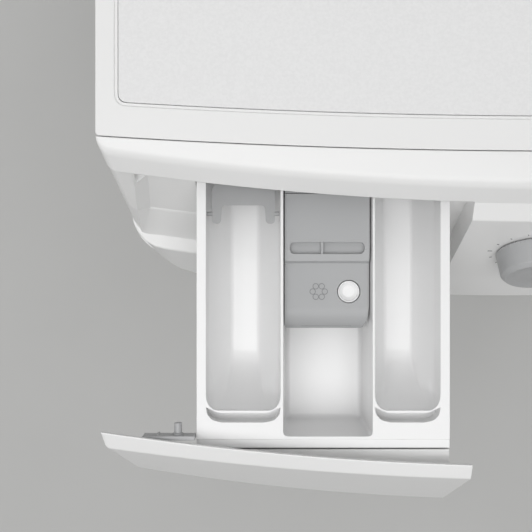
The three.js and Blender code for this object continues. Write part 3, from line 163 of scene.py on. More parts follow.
def filleted(points, radii, steps=4):
    """The closed outline with each corner turned into an arc of its radius, where that is not zero."""
    out = []
    count = len(points)
    for i, point in enumerate(points):
        before = points[i - 1] - point
        after = points[(i + 1) % count] - point
        radius = radii[i]
        if radius <= 0:
            out.append(point.copy())
            continue
        angle = before.angle(after, PI)
        reach = radius / max(1e-6, math.tan(angle / 2))
        reach = min(reach, 0.48 * before.length, 0.48 * after.length)
        start, end = point + before.normalized() * reach, point + after.normalized() * reach
        for s in range(steps + 1):
            t = s / steps
            out.append(start * (1 - t) ** 2 + point * 2 * t * (1 - t) + end * t * t)
    return out


def ring_xz(y, pairs, radii, steps=4):
    return filleted([Vector((x, y, z)) for x, z in pairs], radii, steps)


def slab(name, outline, z0, z1, radii=None, steps=5):
    """An outline of (x, y) points raised from z0 to z1, its corners rounded in plan."""
    flat = [Vector((x, y, 0)) for x, y in outline]
    ring = filleted(flat, radii or [0] * len(flat), steps)
    return loft(name, [[Vector((p.x, p.y, z)) for p in ring] for z in (z0, z1)])


def rectangle(x, y):
    return [(x[0], y[0]), (x[1], y[0]), (x[1], y[1]), (x[0], y[1])]


def brick(name, x, y, z):
    return slab(name, rectangle(x, y), *z)


def rounded_box(name, x, y, z, radius, steps=5):
    """A block whose corners are rounded as seen along Y."""
    return loft(name, [ring_xz(v, rectangle(x, z), [radius] * 4, steps) for v in y])


def turned(name, profile, radii=None, around=(0.0, AXIS_Z), steps=96, along="Y"):
    """A profile of (radius, distance) points turned round a line along Y, or along Z, its corners rounded."""
    flat = [Vector((r, d, 0)) for r, d in profile]
    flat = filleted(flat, radii, 4) if radii else flat
    rings = []
    for turn in turns(steps):
        c, s = math.cos(turn), math.sin(turn)
        if along == "Y":
            rings.append([Vector((around[0] + p.x * c, p.y, around[1] + p.x * s)) for p in flat])
        else:
            rings.append([Vector((around[0] + p.x * c, around[1] + p.x * s, p.y)) for p in flat])
    return loft(name, rings, closed_on_itself=True)


def applied(obj):
    """Bakes the object's modifiers into its mesh."""
    graph = bpy.context.evaluated_depsgraph_get()
    graph.update()
    mesh = bpy.data.meshes.new_from_object(obj.evaluated_get(graph))
    obj.modifiers.clear()
    obj.data = mesh
    return obj


def cut(obj, *tools, operation="DIFFERENCE"):
    for tool in tools:
        step = obj.modifiers.new("cut", "BOOLEAN")
        step.operation, step.solver, step.object = operation, "EXACT", tool
        applied(obj)
        bpy.data.objects.remove(tool)
    return obj


def joined(obj, *others):
    return cut(obj, *others, operation="UNION")


def together(name, parts):
    """Loose solids in one mesh."""
    work = bmesh.new()
    for part in parts:
        work.from_mesh(part.data)
    for part in parts:
        bpy.data.objects.remove(part)
    mesh = bpy.data.meshes.new(name)
    work.to_mesh(mesh)
    work.free()
    return shown(name, mesh)


def eased(obj, width=0.0006, segments=3, angle=32):
    """Small rounds on the sharp edges, and smooth shading."""
    clean = bmesh.new()
    clean.from_mesh(obj.data)
    bmesh.ops.remove_doubles(clean, verts=clean.verts, dist=2e-6)
    bmesh.ops.dissolve_degenerate(clean, edges=clean.edges, dist=2e-6)
    clean.to_mesh(obj.data)
    clean.free()
    if width:
        bevel = obj.modifiers.new("edges", "BEVEL")
        bevel.width, bevel.segments = width, segments
        bevel.limit_method, bevel.angle_limit = "ANGLE", math.radians(angle)
        bevel.harden_normals = True
    for polygon in obj.data.polygons:
        polygon.use_smooth = True
    obj.data.set_sharp_from_angle(angle=math.radians(50))
    weighted = obj.modifiers.new("shading", "WEIGHTED_NORMAL")
    weighted.keep_sharp = True
    return applied(obj)


def rod(name, radius, span, around, along="Y", steps=64):
    profile = [(0, span[0]), (radius, span[0]), (radius, span[1]), (0, span[1])]
    return turned(name, profile, around=around, steps=steps, along=along)


# ---- materials
class Finish:
    """A procedural material, its textures measured in metres on the piece."""

    def __init__(self, name, color, roughness, metallic=0.0):
        self.material = bpy.data.materials.new(name)
        self.material.use_nodes = True
        self.tree = self.material.node_tree
        self.shader = self.tree.nodes["Principled BSDF"]
        self.color, self.roughness = color, roughness
        self.put("Metallic", metallic)
        self.put("Roughness", roughness)
        self.put("Base Color", (*color, 1))
        self.material.diffuse_color = (*color, 1)
        self.place = self.node("ShaderNodeTexCoord").outputs["Object"]

    def node(self, kind, **values):
        made_node = self.tree.nodes.new(kind)
        for key, value in values.items():
            setattr(made_node, key, value)
        return made_node

    def put(self, socket, value):
        self.shader.inputs[socket].default_value = value

    def worked(self, tint, sheen=None, bump=None):
        """Noise in the colour, the roughness and the height, each given as its scale and detail, then its
        size."""
        self.tint(self.noise(*tint[:2]), *tint[2:])
        if sheen:
            self.sheen_range(self.noise(*sheen[:2]), *sheen[2:])
        if bump:
            self.bump(self.noise(*bump[:2]), *bump[2:])
        return self

    def link(self, source, target):
        self.tree.links.new(source, target)

    def stretched(self, scale):
        mapping = self.node("ShaderNodeMapping")
        mapping.inputs["Scale"].default_value = scale
        self.link(self.place, mapping.inputs["Vector"])
        return mapping.outputs["Vector"]

    def noise(self, scale, detail, place=None):
        texture = self.node("ShaderNodeTexNoise")
        texture.inputs["Scale"].default_value = scale
        texture.inputs["Detail"].default_value = detail
        self.link(place or self.place, texture.inputs["Vector"])
        return texture.outputs["Fac"]

    def cells(self, scale, feature="F1", output="Distance"):
        texture = self.node("ShaderNodeTexVoronoi", feature=feature)
        texture.inputs["Scale"].default_value = scale
        self.link(self.place, texture.inputs["Vector"])
        return texture.outputs[output]

    def ramp(self, source, low, high, start=0.3, end=0.7):
        ramp = self.node("ShaderNodeValToRGB")
        first, last = ramp.color_ramp.elements
        first.position, last.position = start, end
        first.color, last.color = (*low, 1), (*high, 1)
        self.link(source, ramp.inputs["Fac"])
        return ramp.outputs["Color"]

    def tint(self, source, spread, start=0.3, end=0.7):
        """Colour that wanders a little to each side of the finish's own."""
        low = [c * (1 - spread) for c in self.color]
        high = [min(1.0, c * (1 + spread)) for c in self.color]
        self.link(self.ramp(source, low, high, start, end), self.shader.inputs["Base Color"])

    def sheen_range(self, source, spread):
        low, high = self.roughness - spread, self.roughness + spread
        color = self.ramp(source, (low,) * 3, (high,) * 3)
        self.link(color, self.shader.inputs["Roughness"])

    def bump(self, source, height, strength=0.35):
        bump = self.node("ShaderNodeBump")
        bump.inputs["Distance"].default_value = height
        bump.inputs["Strength"].default_value = strength
        self.link(source, bump.inputs["Height"])
        if self.shader.inputs["Normal"].links:
            self.link(self.shader.inputs["Normal"].links[0].from_socket, bump.inputs["Normal"])
        self.link(bump.outputs["Normal"], self.shader.inputs["Normal"])


def moulded(name, color, roughness, grain=1400, depth=0.00004, coat=0.0):
    """Injection-moulded plastic: faint flow marks and a fine grain."""
    skin = Finish(name, color, roughness)
    skin.worked((7, 3, 0.006), (grain / 8, 2, 0.015), (grain, 2, depth, 0.1))
    skin.put("Coat Weight", coat)
    skin.put("Coat Roughness", 0.12)
    return skin.material


def enamel(name, color):
    """Baked enamel on sheet steel, with its orange peel."""
    skin = Finish(name, color, 0.3)
    skin.worked((4, 2, 0.005), (60, 2, 0.02), (260, 2, 0.000008, 0.2))
    skin.put("Coat Weight", 0.35)
    skin.put("Coat Roughness", 0.1)
    return skin.material


def laminate(name, color):
    """Pale laminate with a fine pebbled texture."""
    skin = Finish(name, color, 0.5)
    skin.worked((520, 6, 0.022, 0.35, 0.65), (900, 3, 0.08))
    skin.bump(skin.cells(620, "SMOOTH_F1"), 0.00006, 0.35)
    return skin.material


def clear_flap(name, color):
    skin = Finish(name, color, 0.28)
    skin.worked((30, 3, 0.05), bump=(900, 3, 0.00004))
    skin.put("Transmission Weight", 0.45)
    skin.put("IOR", 1.49)
    return skin.material


def filled_plastic(name, color):
    """Mineral-filled tub plastic: matt and speckled."""
    skin = Finish(name, color, 0.62)
    return skin.worked((1500, 8, 0.14, 0.4, 0.6), (300, 4, 0.08), (600, 5, 0.0001)).material


def galvanised(name, color):
    """Zinc-coated sheet, with its spangle."""
    skin = Finish(name, color, 0.42, 0.9)
    skin.tint(skin.cells(95, output="Color"), 0.16, 0.0, 1.0)
    skin.sheen_range(skin.noise(40, 4), 0.1)
    skin.bump(skin.noise(500, 3), 0.00005)
    return skin.material


def brushed(name, color, roughness=0.28, grain=(60, 2500, 60)):
    """Steel with fine marks along one direction."""
    skin = Finish(name, color, roughness, 1.0)
    marks = skin.noise(1.0, 4, skin.stretched(grain))
    skin.tint(marks, 0.08)
    skin.sheen_range(marks, 0.08)
    skin.bump(marks, 0.00003)
    return skin.material


def cast(name, color, metallic=0.9):
    skin = Finish(name, color, 0.5, metallic)
    return skin.worked((120, 6, 0.1), (200, 4, 0.1), (420, 4, 0.00025, 0.6)).material


def concrete(name, color):
    skin = Finish(name, color, 0.9)
    skin.worked((70, 8, 0.22), bump=(180, 8, 0.0012, 0.7))
    skin.bump(skin.cells(240), 0.0006, 0.4)
    return skin.material


def rubber(name, color):
    skin = Finish(name, color, 0.62)
    return skin.worked((25, 4, 0.08), (90, 4, 0.1), (700, 3, 0.00006)).material


def window(name):
    """Clear moulded glass, with the slight waves of its pressing."""
    skin = Finish(name, (0.93, 0.96, 0.965), 0.03)
    skin.sheen_range(skin.noise(18, 3), 0.015)
    skin.bump(skin.noise(14, 2), 0.0004, 0.25)
    skin.put("Transmission Weight", 1.0)
    skin.put("IOR", 1.5)
    return skin.material


WHITE = moulded("white_plastic", (0.83, 0.83, 0.825), 0.34, 300, 0.000004, 0.15)
TRAY_WHITE = moulded("tray_plastic", (0.85, 0.85, 0.85), 0.3, 240, 0.000004, 0.2)
FASCIA_WHITE = moulded("fascia_plastic", (0.84, 0.84, 0.835), 0.3, 260, 0.000004, 0.25)
DOOR_WHITE = moulded("door_plastic", (0.83, 0.83, 0.825), 0.26, 260, 0.000004, 0.3)
GREY = moulded("grey_plastic", (0.40, 0.405, 0.41), 0.42, 1500, 0.00006)
PALE_GREY = moulded("pale_grey_plastic", (0.42, 0.425, 0.43), 0.36, 1200, 0.00004)
BLACK = moulded("black_plastic", (0.028, 0.029, 0.032), 0.5, 700, 0.00012)
GLOSS_BLACK = moulded("display_black", (0.012, 0.013, 0.016), 0.1, 500, 0.00001, 0.6)
MARKING = moulded("grey_marking", (0.24, 0.245, 0.25), 0.5)
BOARD = laminate("worktop_laminate", (0.79, 0.79, 0.79))
ENAMEL = enamel("white_enamel", (0.83, 0.83, 0.825))
FLAP = clear_flap("flap_plastic", (0.52, 0.525, 0.53))
TUB = filled_plastic("tub_plastic", (0.36, 0.38, 0.39))
ZINC = galvanised("galvanised_sheet", (0.55, 0.56, 0.57))
DRUM = brushed("drum_steel", (0.66, 0.66, 0.655), 0.24)
STEEL = brushed("bright_steel", (0.58, 0.58, 0.59), 0.3, (900, 900, 40))
CAST = cast("cast_aluminium", (0.55, 0.56, 0.57))
MOTOR = cast("motor_coating", (0.16, 0.165, 0.17), 0.3)
CONCRETE = concrete("cast_concrete", (0.36, 0.35, 0.33))
GASKET = rubber("gasket_rubber", (0.27, 0.28, 0.29))
BELT = rubber("belt_rubber", (0.022, 0.022, 0.022))
GLASS = window("window_glass")


def fitted(obj, body, slot, material, *nodes):
    """A finished piece: its material, the body that it rides on and the nodes that it stands for."""
    obj.data.materials.clear()
    obj.data.materials.append(material)
    for polygon in obj.data.polygons:
        polygon.material_index = 0
    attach(obj, body)
    if nodes:
        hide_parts(*nodes)
    return obj


# ---- worktop
BOARD_SIDE, BOARD_FRONT, BOARD_REAR = 0.0145, 0.0226, 0.024
GROOVE = 0.0024
BOARD_THICK = 0.018
RAIL = 0.009
BOARD_CORNER = 0.006


def worktop_slab(name, margins, z, corner):
    """A slab of the worktop's outline, drawn in by the side, front and rear margins."""
    side, front, rear = margins
    reach = HALF - side
    points = [(x, SEAM.at(x).y + front) for x in spread(-reach, reach, 24)]
    points += [(reach, FRONT + DEPTH - rear), (-reach, FRONT + DEPTH - rear)]
    return slab(name, points, *z, [corner] + [0.0] * (len(points) - 4) + [corner] * 3)


def worktop():
    edge = worktop_slab("worktop_rim", (0, GAP, 0), (WORKTOP_BASE, HEIGHT), 0.003)
    margins = (BOARD_SIDE - GROOVE, BOARD_FRONT - GROOVE, BOARD_REAR - GROOVE)
    groove = worktop_slab("groove", margins, (HEIGHT - 0.0009, HEIGHT + 0.01), BOARD_CORNER + GROOVE)
    near = (BOARD_SIDE - 0.0003, BOARD_FRONT - 0.0003, BOARD_REAR - 0.0003)
    seat = worktop_slab("seat", near, (HEIGHT - BOARD_THICK - GAP, HEIGHT + 0.01), BOARD_CORNER)
    inner = tuple(margin + RAIL for margin in margins)
    through = worktop_slab("through", inner, (0.5, HEIGHT + 0.01), BOARD_CORNER)
    edge = eased(cut(edge, groove, seat, through), 0.0008)
    fitted(edge, "cabinet", "white_plastic", WHITE, "worktop_frame")
    margins = (BOARD_SIDE, BOARD_FRONT, BOARD_REAR)
    board = worktop_slab("worktop_panel", margins, (HEIGHT - BOARD_THICK, HEIGHT - 0.0001), BOARD_CORNER)
    fitted(eased(board, 0.0007), "cabinet", "worktop_board", BOARD, "worktop_board")


# ---- control panel
SLOPE = math.atan2(LEDGE.ahead - BROW.ahead, BROW.z - LEDGE.z)
PANEL_BASE = SEAM.near(0, WORKTOP_BASE - GAP - HEIGHT)
UNDER_LIP = LIP.near(-0.003, -0.002)
RIB_RISE = 0.0008


def panel_section(kind):
    """The lines of one section with their radii. Those from the lip to the well differ by kind: plain is the
    sloping front, seat is the facet that the drawer front's end closes on, and pocket is deep."""
    if kind == "plain":
        middle = [BROW] + [BROW.towards(LEDGE, t) for t in (0.2, 0.45, 0.5, 0.55, 0.9)]
        radii = [0.003, 0, 0, 0, 0, 0]
    elif kind == "seat":
        top = LIP.near(-0.0012, -0.001)
        middle = [top] + [top.towards(WELL, t) for t in (0.2, 0.5, 0.55, 0.6)] + [WELL]
        radii = [0.0004, 0, 0, 0, 0, 0.001]
    else:
        rib = [RIB.near(-0.0006, 0.0014), RIB.near(RIB_RISE), RIB.near(0.0007, -0.0012)]
        middle = [UNDER_LIP, RECESS_TOP] + rib + [WELL]
        radii = [0.0004, 0.002, 0.0002, 0.0002, 0.0002, 0.0012]
    start = [PANEL_BASE, SEAM, CREASE, LIP]
    end = [LEDGE, CHIN, CHIN.near(-0.004, UNDERSIDE - CHIN.z)]
    back = [level(PANEL_REAR, UNDERSIDE), level(PANEL_REAR, WORKTOP_BASE - GAP)]
    return start + middle + end + back, [0, 0.0007, 0.011, 0.0014] + radii + [0.0022, 0.004, 0.002, 0, 0]


def panel_ring(x, kind, shifts=(0.0,) * 6):
    """The section at x, its middle six lines shifted sideways and never quite sharp, so that rings match."""
    lines, radii = panel_section(kind)
    moves = [0.0] * len(lines)
    moves[4:10] = shifts
    radii[4:10] = [max(radius, 0.0002) for radius in radii[4:10]]
    return filleted([line.at(x, move) for line, move in zip(lines, moves)], radii, 4)


def on_panel(x):
    """The place on the sloping front at x, its +Z straight out of the surface."""
    middle = BROW.towards(LEDGE, 0.5)
    yaw = math.atan(2 * middle.bow * x / HALF**2)
    spot = Vector((x, FRONT - middle.ahead + middle.bow * (x / HALF) ** 2, middle.z))
    return Matrix.Translation(spot) @ Matrix.Rotation(yaw, 4, "Z") @ Matrix.Rotation(PI / 2 - SLOPE, 4, "X")


def on_panel_piece(obj, x):
    obj.data.transform(on_panel(x))
    return obj


UPRIGHT = Matrix.Rotation(PI / 2, 4, "X")
KNOB_X = FASCIA_RIGHT + 0.056
KNOB = 0.027
BUTTON = 0.011
START_X = HALF - 0.043
POWER_X = START_X - 0.040
CONTROL_SPACE = 0.015
DISPLAY_X = (KNOB_X + KNOB + POWER_X - BUTTON) / 2
DISPLAY_HALF = (POWER_X - BUTTON - KNOB_X - KNOB) / 2 - CONTROL_SPACE
DISPLAY_HIGH = 0.018
FACET_EDGE, POCKET_CORNER, POCKET_SIDE, POCKET_START = -0.2855, -0.277, -0.269, -0.26
# How the pocket's side wall leans: drawn towards the middle under the lip, and outwards at the well
LEAN_EDGE = [0.0045, 0.004, 0.0005, 0.0, -0.0005, -0.0035]
LEAN_CORNER = [0.006, 0.0055, 0.0005, 0.0, -0.0005, -0.0054]
LEAN_SIDE = [0.0015, 0.0015, 0, 0, 0, -0.001]
LEFT_END = (0, 0.0006, 0.0018, 0.0036, 0.0055, 0.0075)
RIGHT_END = (0.024, 0.019, 0.0145, 0.0105, 0.0075, 0.005, 0.003, 0.0015, 0.0005, 0)


def control_panel():
    rings = [panel_ring(-HALF + margin, "seat") for margin in LEFT_END]
    rings.append(panel_ring(FACET_EDGE, "seat", LEAN_EDGE))
    rings.append(panel_ring(POCKET_CORNER, "pocket", LEAN_CORNER))
    rings.append(panel_ring(POCKET_SIDE, "pocket", LEAN_SIDE))
    end = FASCIA_RIGHT + GAP
    rings += [panel_ring(x, "pocket") for x in spread(POCKET_START, end, 14)]
    rings += [panel_ring(x, "plain") for x in spread(end + 0.0006, HALF - RIGHT_END[0], 18)]
    rings += [panel_ring(HALF - margin, "plain") for margin in RIGHT_END[1:]]
    body = loft("control_fascia", rings)
    run = 0.0012
    wide = (TRAY_LEFT - run, TRAY_RIGHT + run)
    tunnel = brick("tunnel", wide, (FRONT, FRONT + 0.12), (TRAY_BASE - run, LIP.z - 0.0035))
    slot_x = (-HALF + 0.021, TRAY_LEFT + 0.002)
    slot_y = (FRONT + 0.04, FRONT + TRAY_FRONT + 0.022)
    bracket = brick("bracket", slot_x, slot_y, (RECESS_TOP.z, LIP.z - 0.004))
    low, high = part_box("dispenser_housing")
    room = brick("room", (low.x - GAP, high.x + GAP), (low.y - GAP, FRONT + 0.12),
                 (low.z - GAP, WORKTOP_BASE + 0.001))
    recess = rounded_box("recess", about(0, DISPLAY_HALF), (-0.006, 0.009), about(0, DISPLAY_HIGH), 0.003)
    recess.data.transform(UPRIGHT)
    tools = [tunnel, bracket, room, on_panel_piece(recess, DISPLAY_X)]
    for x, radius in ((POWER_X, BUTTON + GAP), (START_X, BUTTON + GAP), (KNOB_X, 0.005)):
        tools.append(on_panel_piece(rod("hole", radius, (-0.012, 0.006), (0, 0), "Z"), x))
    fitted(eased(cut(body, *tools), 0.0005, 2, 40), "cabinet", "white_plastic", WHITE, "control_panel")


# ---- dispenser drawer
RIM = 0.0063
DIVIDER = 0.0022
MAIN_WIDE, SOFTENER_WIDE, PREWASH_WIDE = 0.0497, 0.0586, 0.0436
MAIN_LEFT = TRAY_LEFT + RIM
SOFTENER_LEFT = MAIN_LEFT + MAIN_WIDE + DIVIDER
PREWASH_LEFT = SOFTENER_LEFT + SOFTENER_WIDE + DIVIDER
TRAY_FLOOR = TRAY_BASE + 0.003
GUTTER_FRONT = 0.0171  # from the tray's front to the outer compartments' openings
BAFFLE = 0.0232  # and to the thin wall across them
BAFFLE_THICK = 0.0018
GUTTER_DEEP = 0.013
RAMP = 0.037  # length of the rise at a compartment's front
SLOPE_START = 0.1271  # where a compartment's floor starts to fall to the rear
WELL_FRONT = 0.0077


def drawn(back):
    """Y of a place on the drawer, given as its distance behind the tray's front."""
    return TRAY_LOW.y + back


def trough(left, wide):
    """The hollow of an outer compartment: steep sides, a narrow flat floor and a rise to the baffle."""
    middle = left + wide / 2
    start = BAFFLE + BAFFLE_THICK
    end = TRAY_HIGH.y - TRAY_LOW.y - DIVIDER
    corner = 0.010
    rings = []
    places = [start + share * RAMP for share in (0, 0.02, 0.06, 0.12, 0.2, 0.3, 0.42, 0.55, 0.7, 0.85, 1)]
    for back in places + [SLOPE_START - 0.001, SLOPE_START, SLOPE_START + 0.001, end]:
        rise = max(0.0, 1 - (back - start) / RAMP)
        fall = max(0.0, back - SLOPE_START) * -0.03
        floor = TRAY_FLOOR + 0.0015 + fall + (RIM_Z - 0.004 - TRAY_FLOOR) * rise**2
        into = max(0.0, corner - (back - start))
        half = wide / 2 - (corner - math.sqrt(corner**2 - into**2)) * 0.8
        shoulder = max(RIM_Z - 0.020, floor + 0.001)
        flat = min(0.0100, half * 0.5) + rise**3 * half * 0.3
        pairs = [(-half, RIM_Z + 0.001), (-half, RIM_Z - 0.0005), (-half + 0.0008, shoulder), (-flat, floor)]
        pairs += [(-x, z) for x, z in reversed(pairs)]
        radii = [0, 0, 0.014, 0.004, 0.004, 0.014, 0, 0]
        rings.append(ring_xz(drawn(back), [(middle + x, z) for x, z in pairs], radii, 6))
    return loft("trough", rings)


def gutter(left, wide):
    """The slot in front of the baffle, with round front corners and its rear ends turned back."""
    curl = 0.0038
    x = (left, left + wide)
    corner = [(0, BAFFLE + curl), (0.0008, GUTTER_FRONT + 0.0052), (0.0042, GUTTER_FRONT + 0.0014),
              (0.0105, GUTTER_FRONT)]
    outline = [(x[0] + across, drawn(rear)) for across, rear in corner]
    outline += [(x[1] - across, drawn(rear)) for across, rear in reversed(corner)]
    outline += [(x[1] - 0.0085, drawn(BAFFLE)), (x[0] + 0.0085, drawn(BAFFLE))]
    radii = [0, 0.006, 0.006, 0.009, 0.009, 0.006, 0.006, 0, 0.009, 0.009]
    return slab("gutter", outline, RIM_Z - GUTTER_DEEP, RIM_Z + 0.001, radii, 6)


def softener_well():
    """The middle compartment: drafted walls and a rounded foot."""
    high = RIM_Z - TRAY_FLOOR
    rings = []
    for rise, foot in ((0, 0.0034), (0.0006, 0.0018), (0.002, 0.0005), (0.0045, 0), (high + 0.001, 0)):
        share = 1 - rise / high
        margin = 0.0026 * share + foot
        x = (SOFTENER_LEFT - 0.0004 + margin, SOFTENER_LEFT + SOFTENER_WIDE + 0.0006 - margin)
        y = (drawn(WELL_FRONT) + 0.0045 * share + foot, TRAY_HIGH.y - DIVIDER - margin)
        ring = filleted([Vector((*corner, 0)) for corner in rectangle(x, y)], [0.0035] * 4, 5)
        rings.append([Vector((p.x, p.y, TRAY_FLOOR + rise)) for p in ring])
    return loft("well", rings)


def drawer_tray():
    tray = (TRAY_LEFT, TRAY_RIGHT), (TRAY_LOW.y, TRAY_HIGH.y), (TRAY_BASE, RIM_Z)
    body = rounded_box("dispenser_tray", *tray, 0)
    tools = []
    for left, wide in ((MAIN_LEFT, MAIN_WIDE), (PREWASH_LEFT, PREWASH_WIDE)):
        tools += [trough(left, wide), gutter(left, wide)]
        span = (TRAY_HIGH.y - 0.02, TRAY_HIGH.y + 0.01)
        floor = (TRAY_FLOOR, TRAY_FLOOR + 0.016)
        tools.append(rounded_box("drain", about(left + wide / 2, 0.008), span, floor, 0.003))
    tools.append(softener_well())
    tools.append(brick("step", (TRAY_LEFT - 0.01, TRAY_RIGHT + 0.01), (TRAY_LOW.y - 0.01, drawn(0.0057)),
                       (RIM_Z - 0.0008, RIM_Z + 0.01)))
    piece = eased(cut(body, *tools), 0.0007, 3, 36)
    fitted(piece, "drawer", "white_plastic", TRAY_WHITE, "drawer_tray")


FASCIA_END = (0, 0.0003, 0.0009, 0.0018, 0.003, 0.0045, 0.007, 0.012, 0.02, 0.03, 0.042, 0.058)


def drawer_front():
    hang = GAP + 0.0002
    lines = [
        LIP.near(0.0008, -0.0008),
        BROW.near(),
        LEDGE.near(-0.0003, hang),
        LEDGE.near(-0.0036, hang),
        BROW.near(-0.0028, -0.0027),
        LIP.near(0.0008, -0.0045),
    ]
    ends = [(0, 0.0003), (0.0035, 0.0018), (0.005, 0.007), (0.002, 0.007), (0, 0.0018), (0, 0.0003)]
    for line, (corner, inset) in zip(lines, ends):
        line.corner, line.inset = corner, inset
    radii = [0.0012, 0.003, 0.0014, 0.001, 0.0015, 0.0008]
    stations = [-HALF + margin for margin in FASCIA_END[:-1]]
    stations += spread(-HALF + FASCIA_END[-1], FASCIA_RIGHT, 14)
    rings = [filleted([line.at(x) for line in lines], radii, 4) for x in stations]
    shell = loft("drawer_front", rings)
    top = RIM_Z - 0.003
    rear = FRONT + TRAY_FRONT
    plate = brick("plate", (TRAY_LEFT, TRAY_RIGHT), (rear - 0.0032, rear - 0.0014), (TRAY_BASE, top))
    shelf = []
    for x in spread(TRAY_LEFT, TRAY_RIGHT, 12):
        front, back = BROW.near(0.0012).at(x).y, rear - 0.002
        corners = ((front, top - 0.003), (front, top), (back, top), (back, top - 0.003))
        shelf.append([Vector((x, *corner)) for corner in corners])
    piece = joined(shell, plate, loft("shelf", shelf))
    piece.data.transform(Matrix.Translation((0, -DRAWER_TRAVEL, 0)))
    fitted(eased(piece, 0.0004, 2, 40), "drawer", "fascia_plastic", FASCIA_WHITE, "drawer_fascia")


def drawer_bracket():
    low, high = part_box("drawer_bracket")
    front, back = drawn(0.0067), drawn(0.0095)
    outline = [(low.x, back), (low.x, back - 0.0009), (low.x + 0.01, front), (high.x, front), (high.x, back)]
    plate = slab("bracket_plate", outline, low.z, high.z)
    x, z = TRAY_LEFT - 0.012, low.z + 0.006
    peg = turned("peg", [(0, back - 0.001), (0.0026, back - 0.001), (0.0026, high.y), (0, high.y)],
                 [0, 0, 0.0006, 0], (x, z), 40)
    collar = rod("collar", 0.0036, (back - 0.001, back + 0.0012), (x, z), steps=40)
    rib_y = (front + 0.0005, back + 0.0008)
    rib = brick("rib", (x - 0.014, x - 0.0125), rib_y, (low.z, high.z - 0.002))
    piece = eased(joined(plate, collar, peg, rib), 0.0003, 2, 40)
    fitted(piece, "drawer", "grey_plastic", PALE_GREY, "drawer_bracket")


CAP_LOW, CAP_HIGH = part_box("softener_cover")


def softener_cap():
    """The softener compartment's lift-out cap: two levels, a filling slot and a pouring hole."""
    top, y = CAP_HIGH.z, CAP_LOW.y
    low = top - 0.004
    foot = CAP_LOW.z
    left, right = CAP_LOW.x, CAP_HIGH.x
    step = 0.0449
    nose_long, nose_high = 0.0150, 0.0105
    profile = [(0, foot)]
    for i in range(13):
        turn = i * PI / 24
        profile.append((nose_long * (1 - math.cos(turn)), low - nose_high * (1 - math.sin(turn))))
    profile += [
        (step - 0.0006, low), (step, low + 0.0004), (step + 0.0008, top - 0.0012), (step + 0.009, top),
        (CAP_HIGH.y - y, top), (CAP_HIGH.y - y, foot),
    ]
    radii = [0] * 14 + [0.0003, 0.0003, 0.0012, 0.004, 0, 0]
    body = loft("softener_insert", [filleted([Vector((x, y + b, z)) for b, z in profile], radii, 6)
                                    for x in (left, right)])
    outline = [(left - 0.01, y - 0.01), (right + 0.01, y - 0.01), (right + 0.01, y + 0.014)]
    outline += [(right - across, y + along) for across, along in (
        (0.0001, 0.014), (0.0008, 0.008), (0.0020, 0.004), (0.0036, 0.0012), (0.0052, 0))]
    outline += [(left + across, y + along) for across, along in (
        (0.0022, 0), (0.0006, 0.0006), (0, 0.0022), (-0.01, 0.0022))]
    corner = slab("corner", outline, foot - 0.01, top + 0.01)
    wall = 0.002
    within = (left + wall, right - wall)
    upper = brick("upper", within, (y + 0.010, CAP_HIGH.y - wall), (foot - 0.01, low - 0.002))
    lower = brick("lower", within, (y + wall, y + 0.011), (foot - 0.01, low - nose_high))
    slot_half, slot_y = 0.0252, y + 0.0547
    centre = (left + right) / 2
    outline = rectangle(about(centre, slot_half), about(slot_y, 0.004))
    slot_box = slab("slot", outline, top - 0.0042, top + 0.01, [0.0039] * 4, 8)
    hole_at = (right - 0.0137, y + 0.0253)
    hole = rod("hole", 0.0079, (foot - 0.01, top + 0.01), hole_at, "Z", 72)
    body = cut(body, lower, upper, corner, slot_box, hole)
    bar_x = centre - slot_half + 0.0218
    bar = brick("bar", about(bar_x, 0.0008), about(slot_y, 0.0045), (top - 0.0055, top - 0.0008))
    floor = brick("slot_floor", (centre - slot_half - 0.001, centre + slot_half + 0.001),
                  about(slot_y, 0.005), (top - 0.0068, top - 0.0042))
    body = joined(body, floor, bar)
    fitted(eased(body, 0.0004, 3, 36), "softener_cap", "grey_plastic", GREY, "softener_cover")
    rim = 0.0073
    profile = [(0, foot + 0.0005), (rim, foot + 0.0005), (rim, low - 0.0006), (rim - 0.0008, low - 0.0006),
               (rim - 0.0008, foot + 0.009), (0.004, foot + 0.0075), (0, foot + 0.0075)]
    cup = turned("pouring_cup", profile, [0, 0.0004, 0.0003, 0.0003, 0.003, 0.001, 0], hole_at, 72, "Z")
    fitted(eased(cup, 0.0), "softener_cap", "white_plastic", TRAY_WHITE)
    span = (CAP_HIGH.y + 0.0004, CAP_HIGH.y + 0.014)
    rest = brick("cap_rest", (left, right), span, (top - 0.012, top - 0.0003))
    fitted(eased(rest, 0.0003), "drawer", "grey_plastic", GREY)
    petals = []
    mark_x, mark_y = centre - 0.0055, hole_at[1]
    profile = rectangle((0.0016, 0.0021), (low - 0.0003, low + 0.0002))
    for i in range(6):
        turn = i * PI / 3 + PI / 6
        spot = (mark_x + 0.0041 * math.sin(turn), mark_y + 0.0041 * math.cos(turn))
        petals.append(turned("petal", profile, around=spot, steps=28, along="Z"))
    line_y = (y + 0.0016, y + 0.0016 + 0.0004)
    petals.append(brick("fill_line", about(centre, 0.017), line_y, (low - 0.0062, low - 0.0054)))
    fitted(eased(together("softener_mark", petals), 0.0), "softener_cap", "grey_plastic", MARKING)


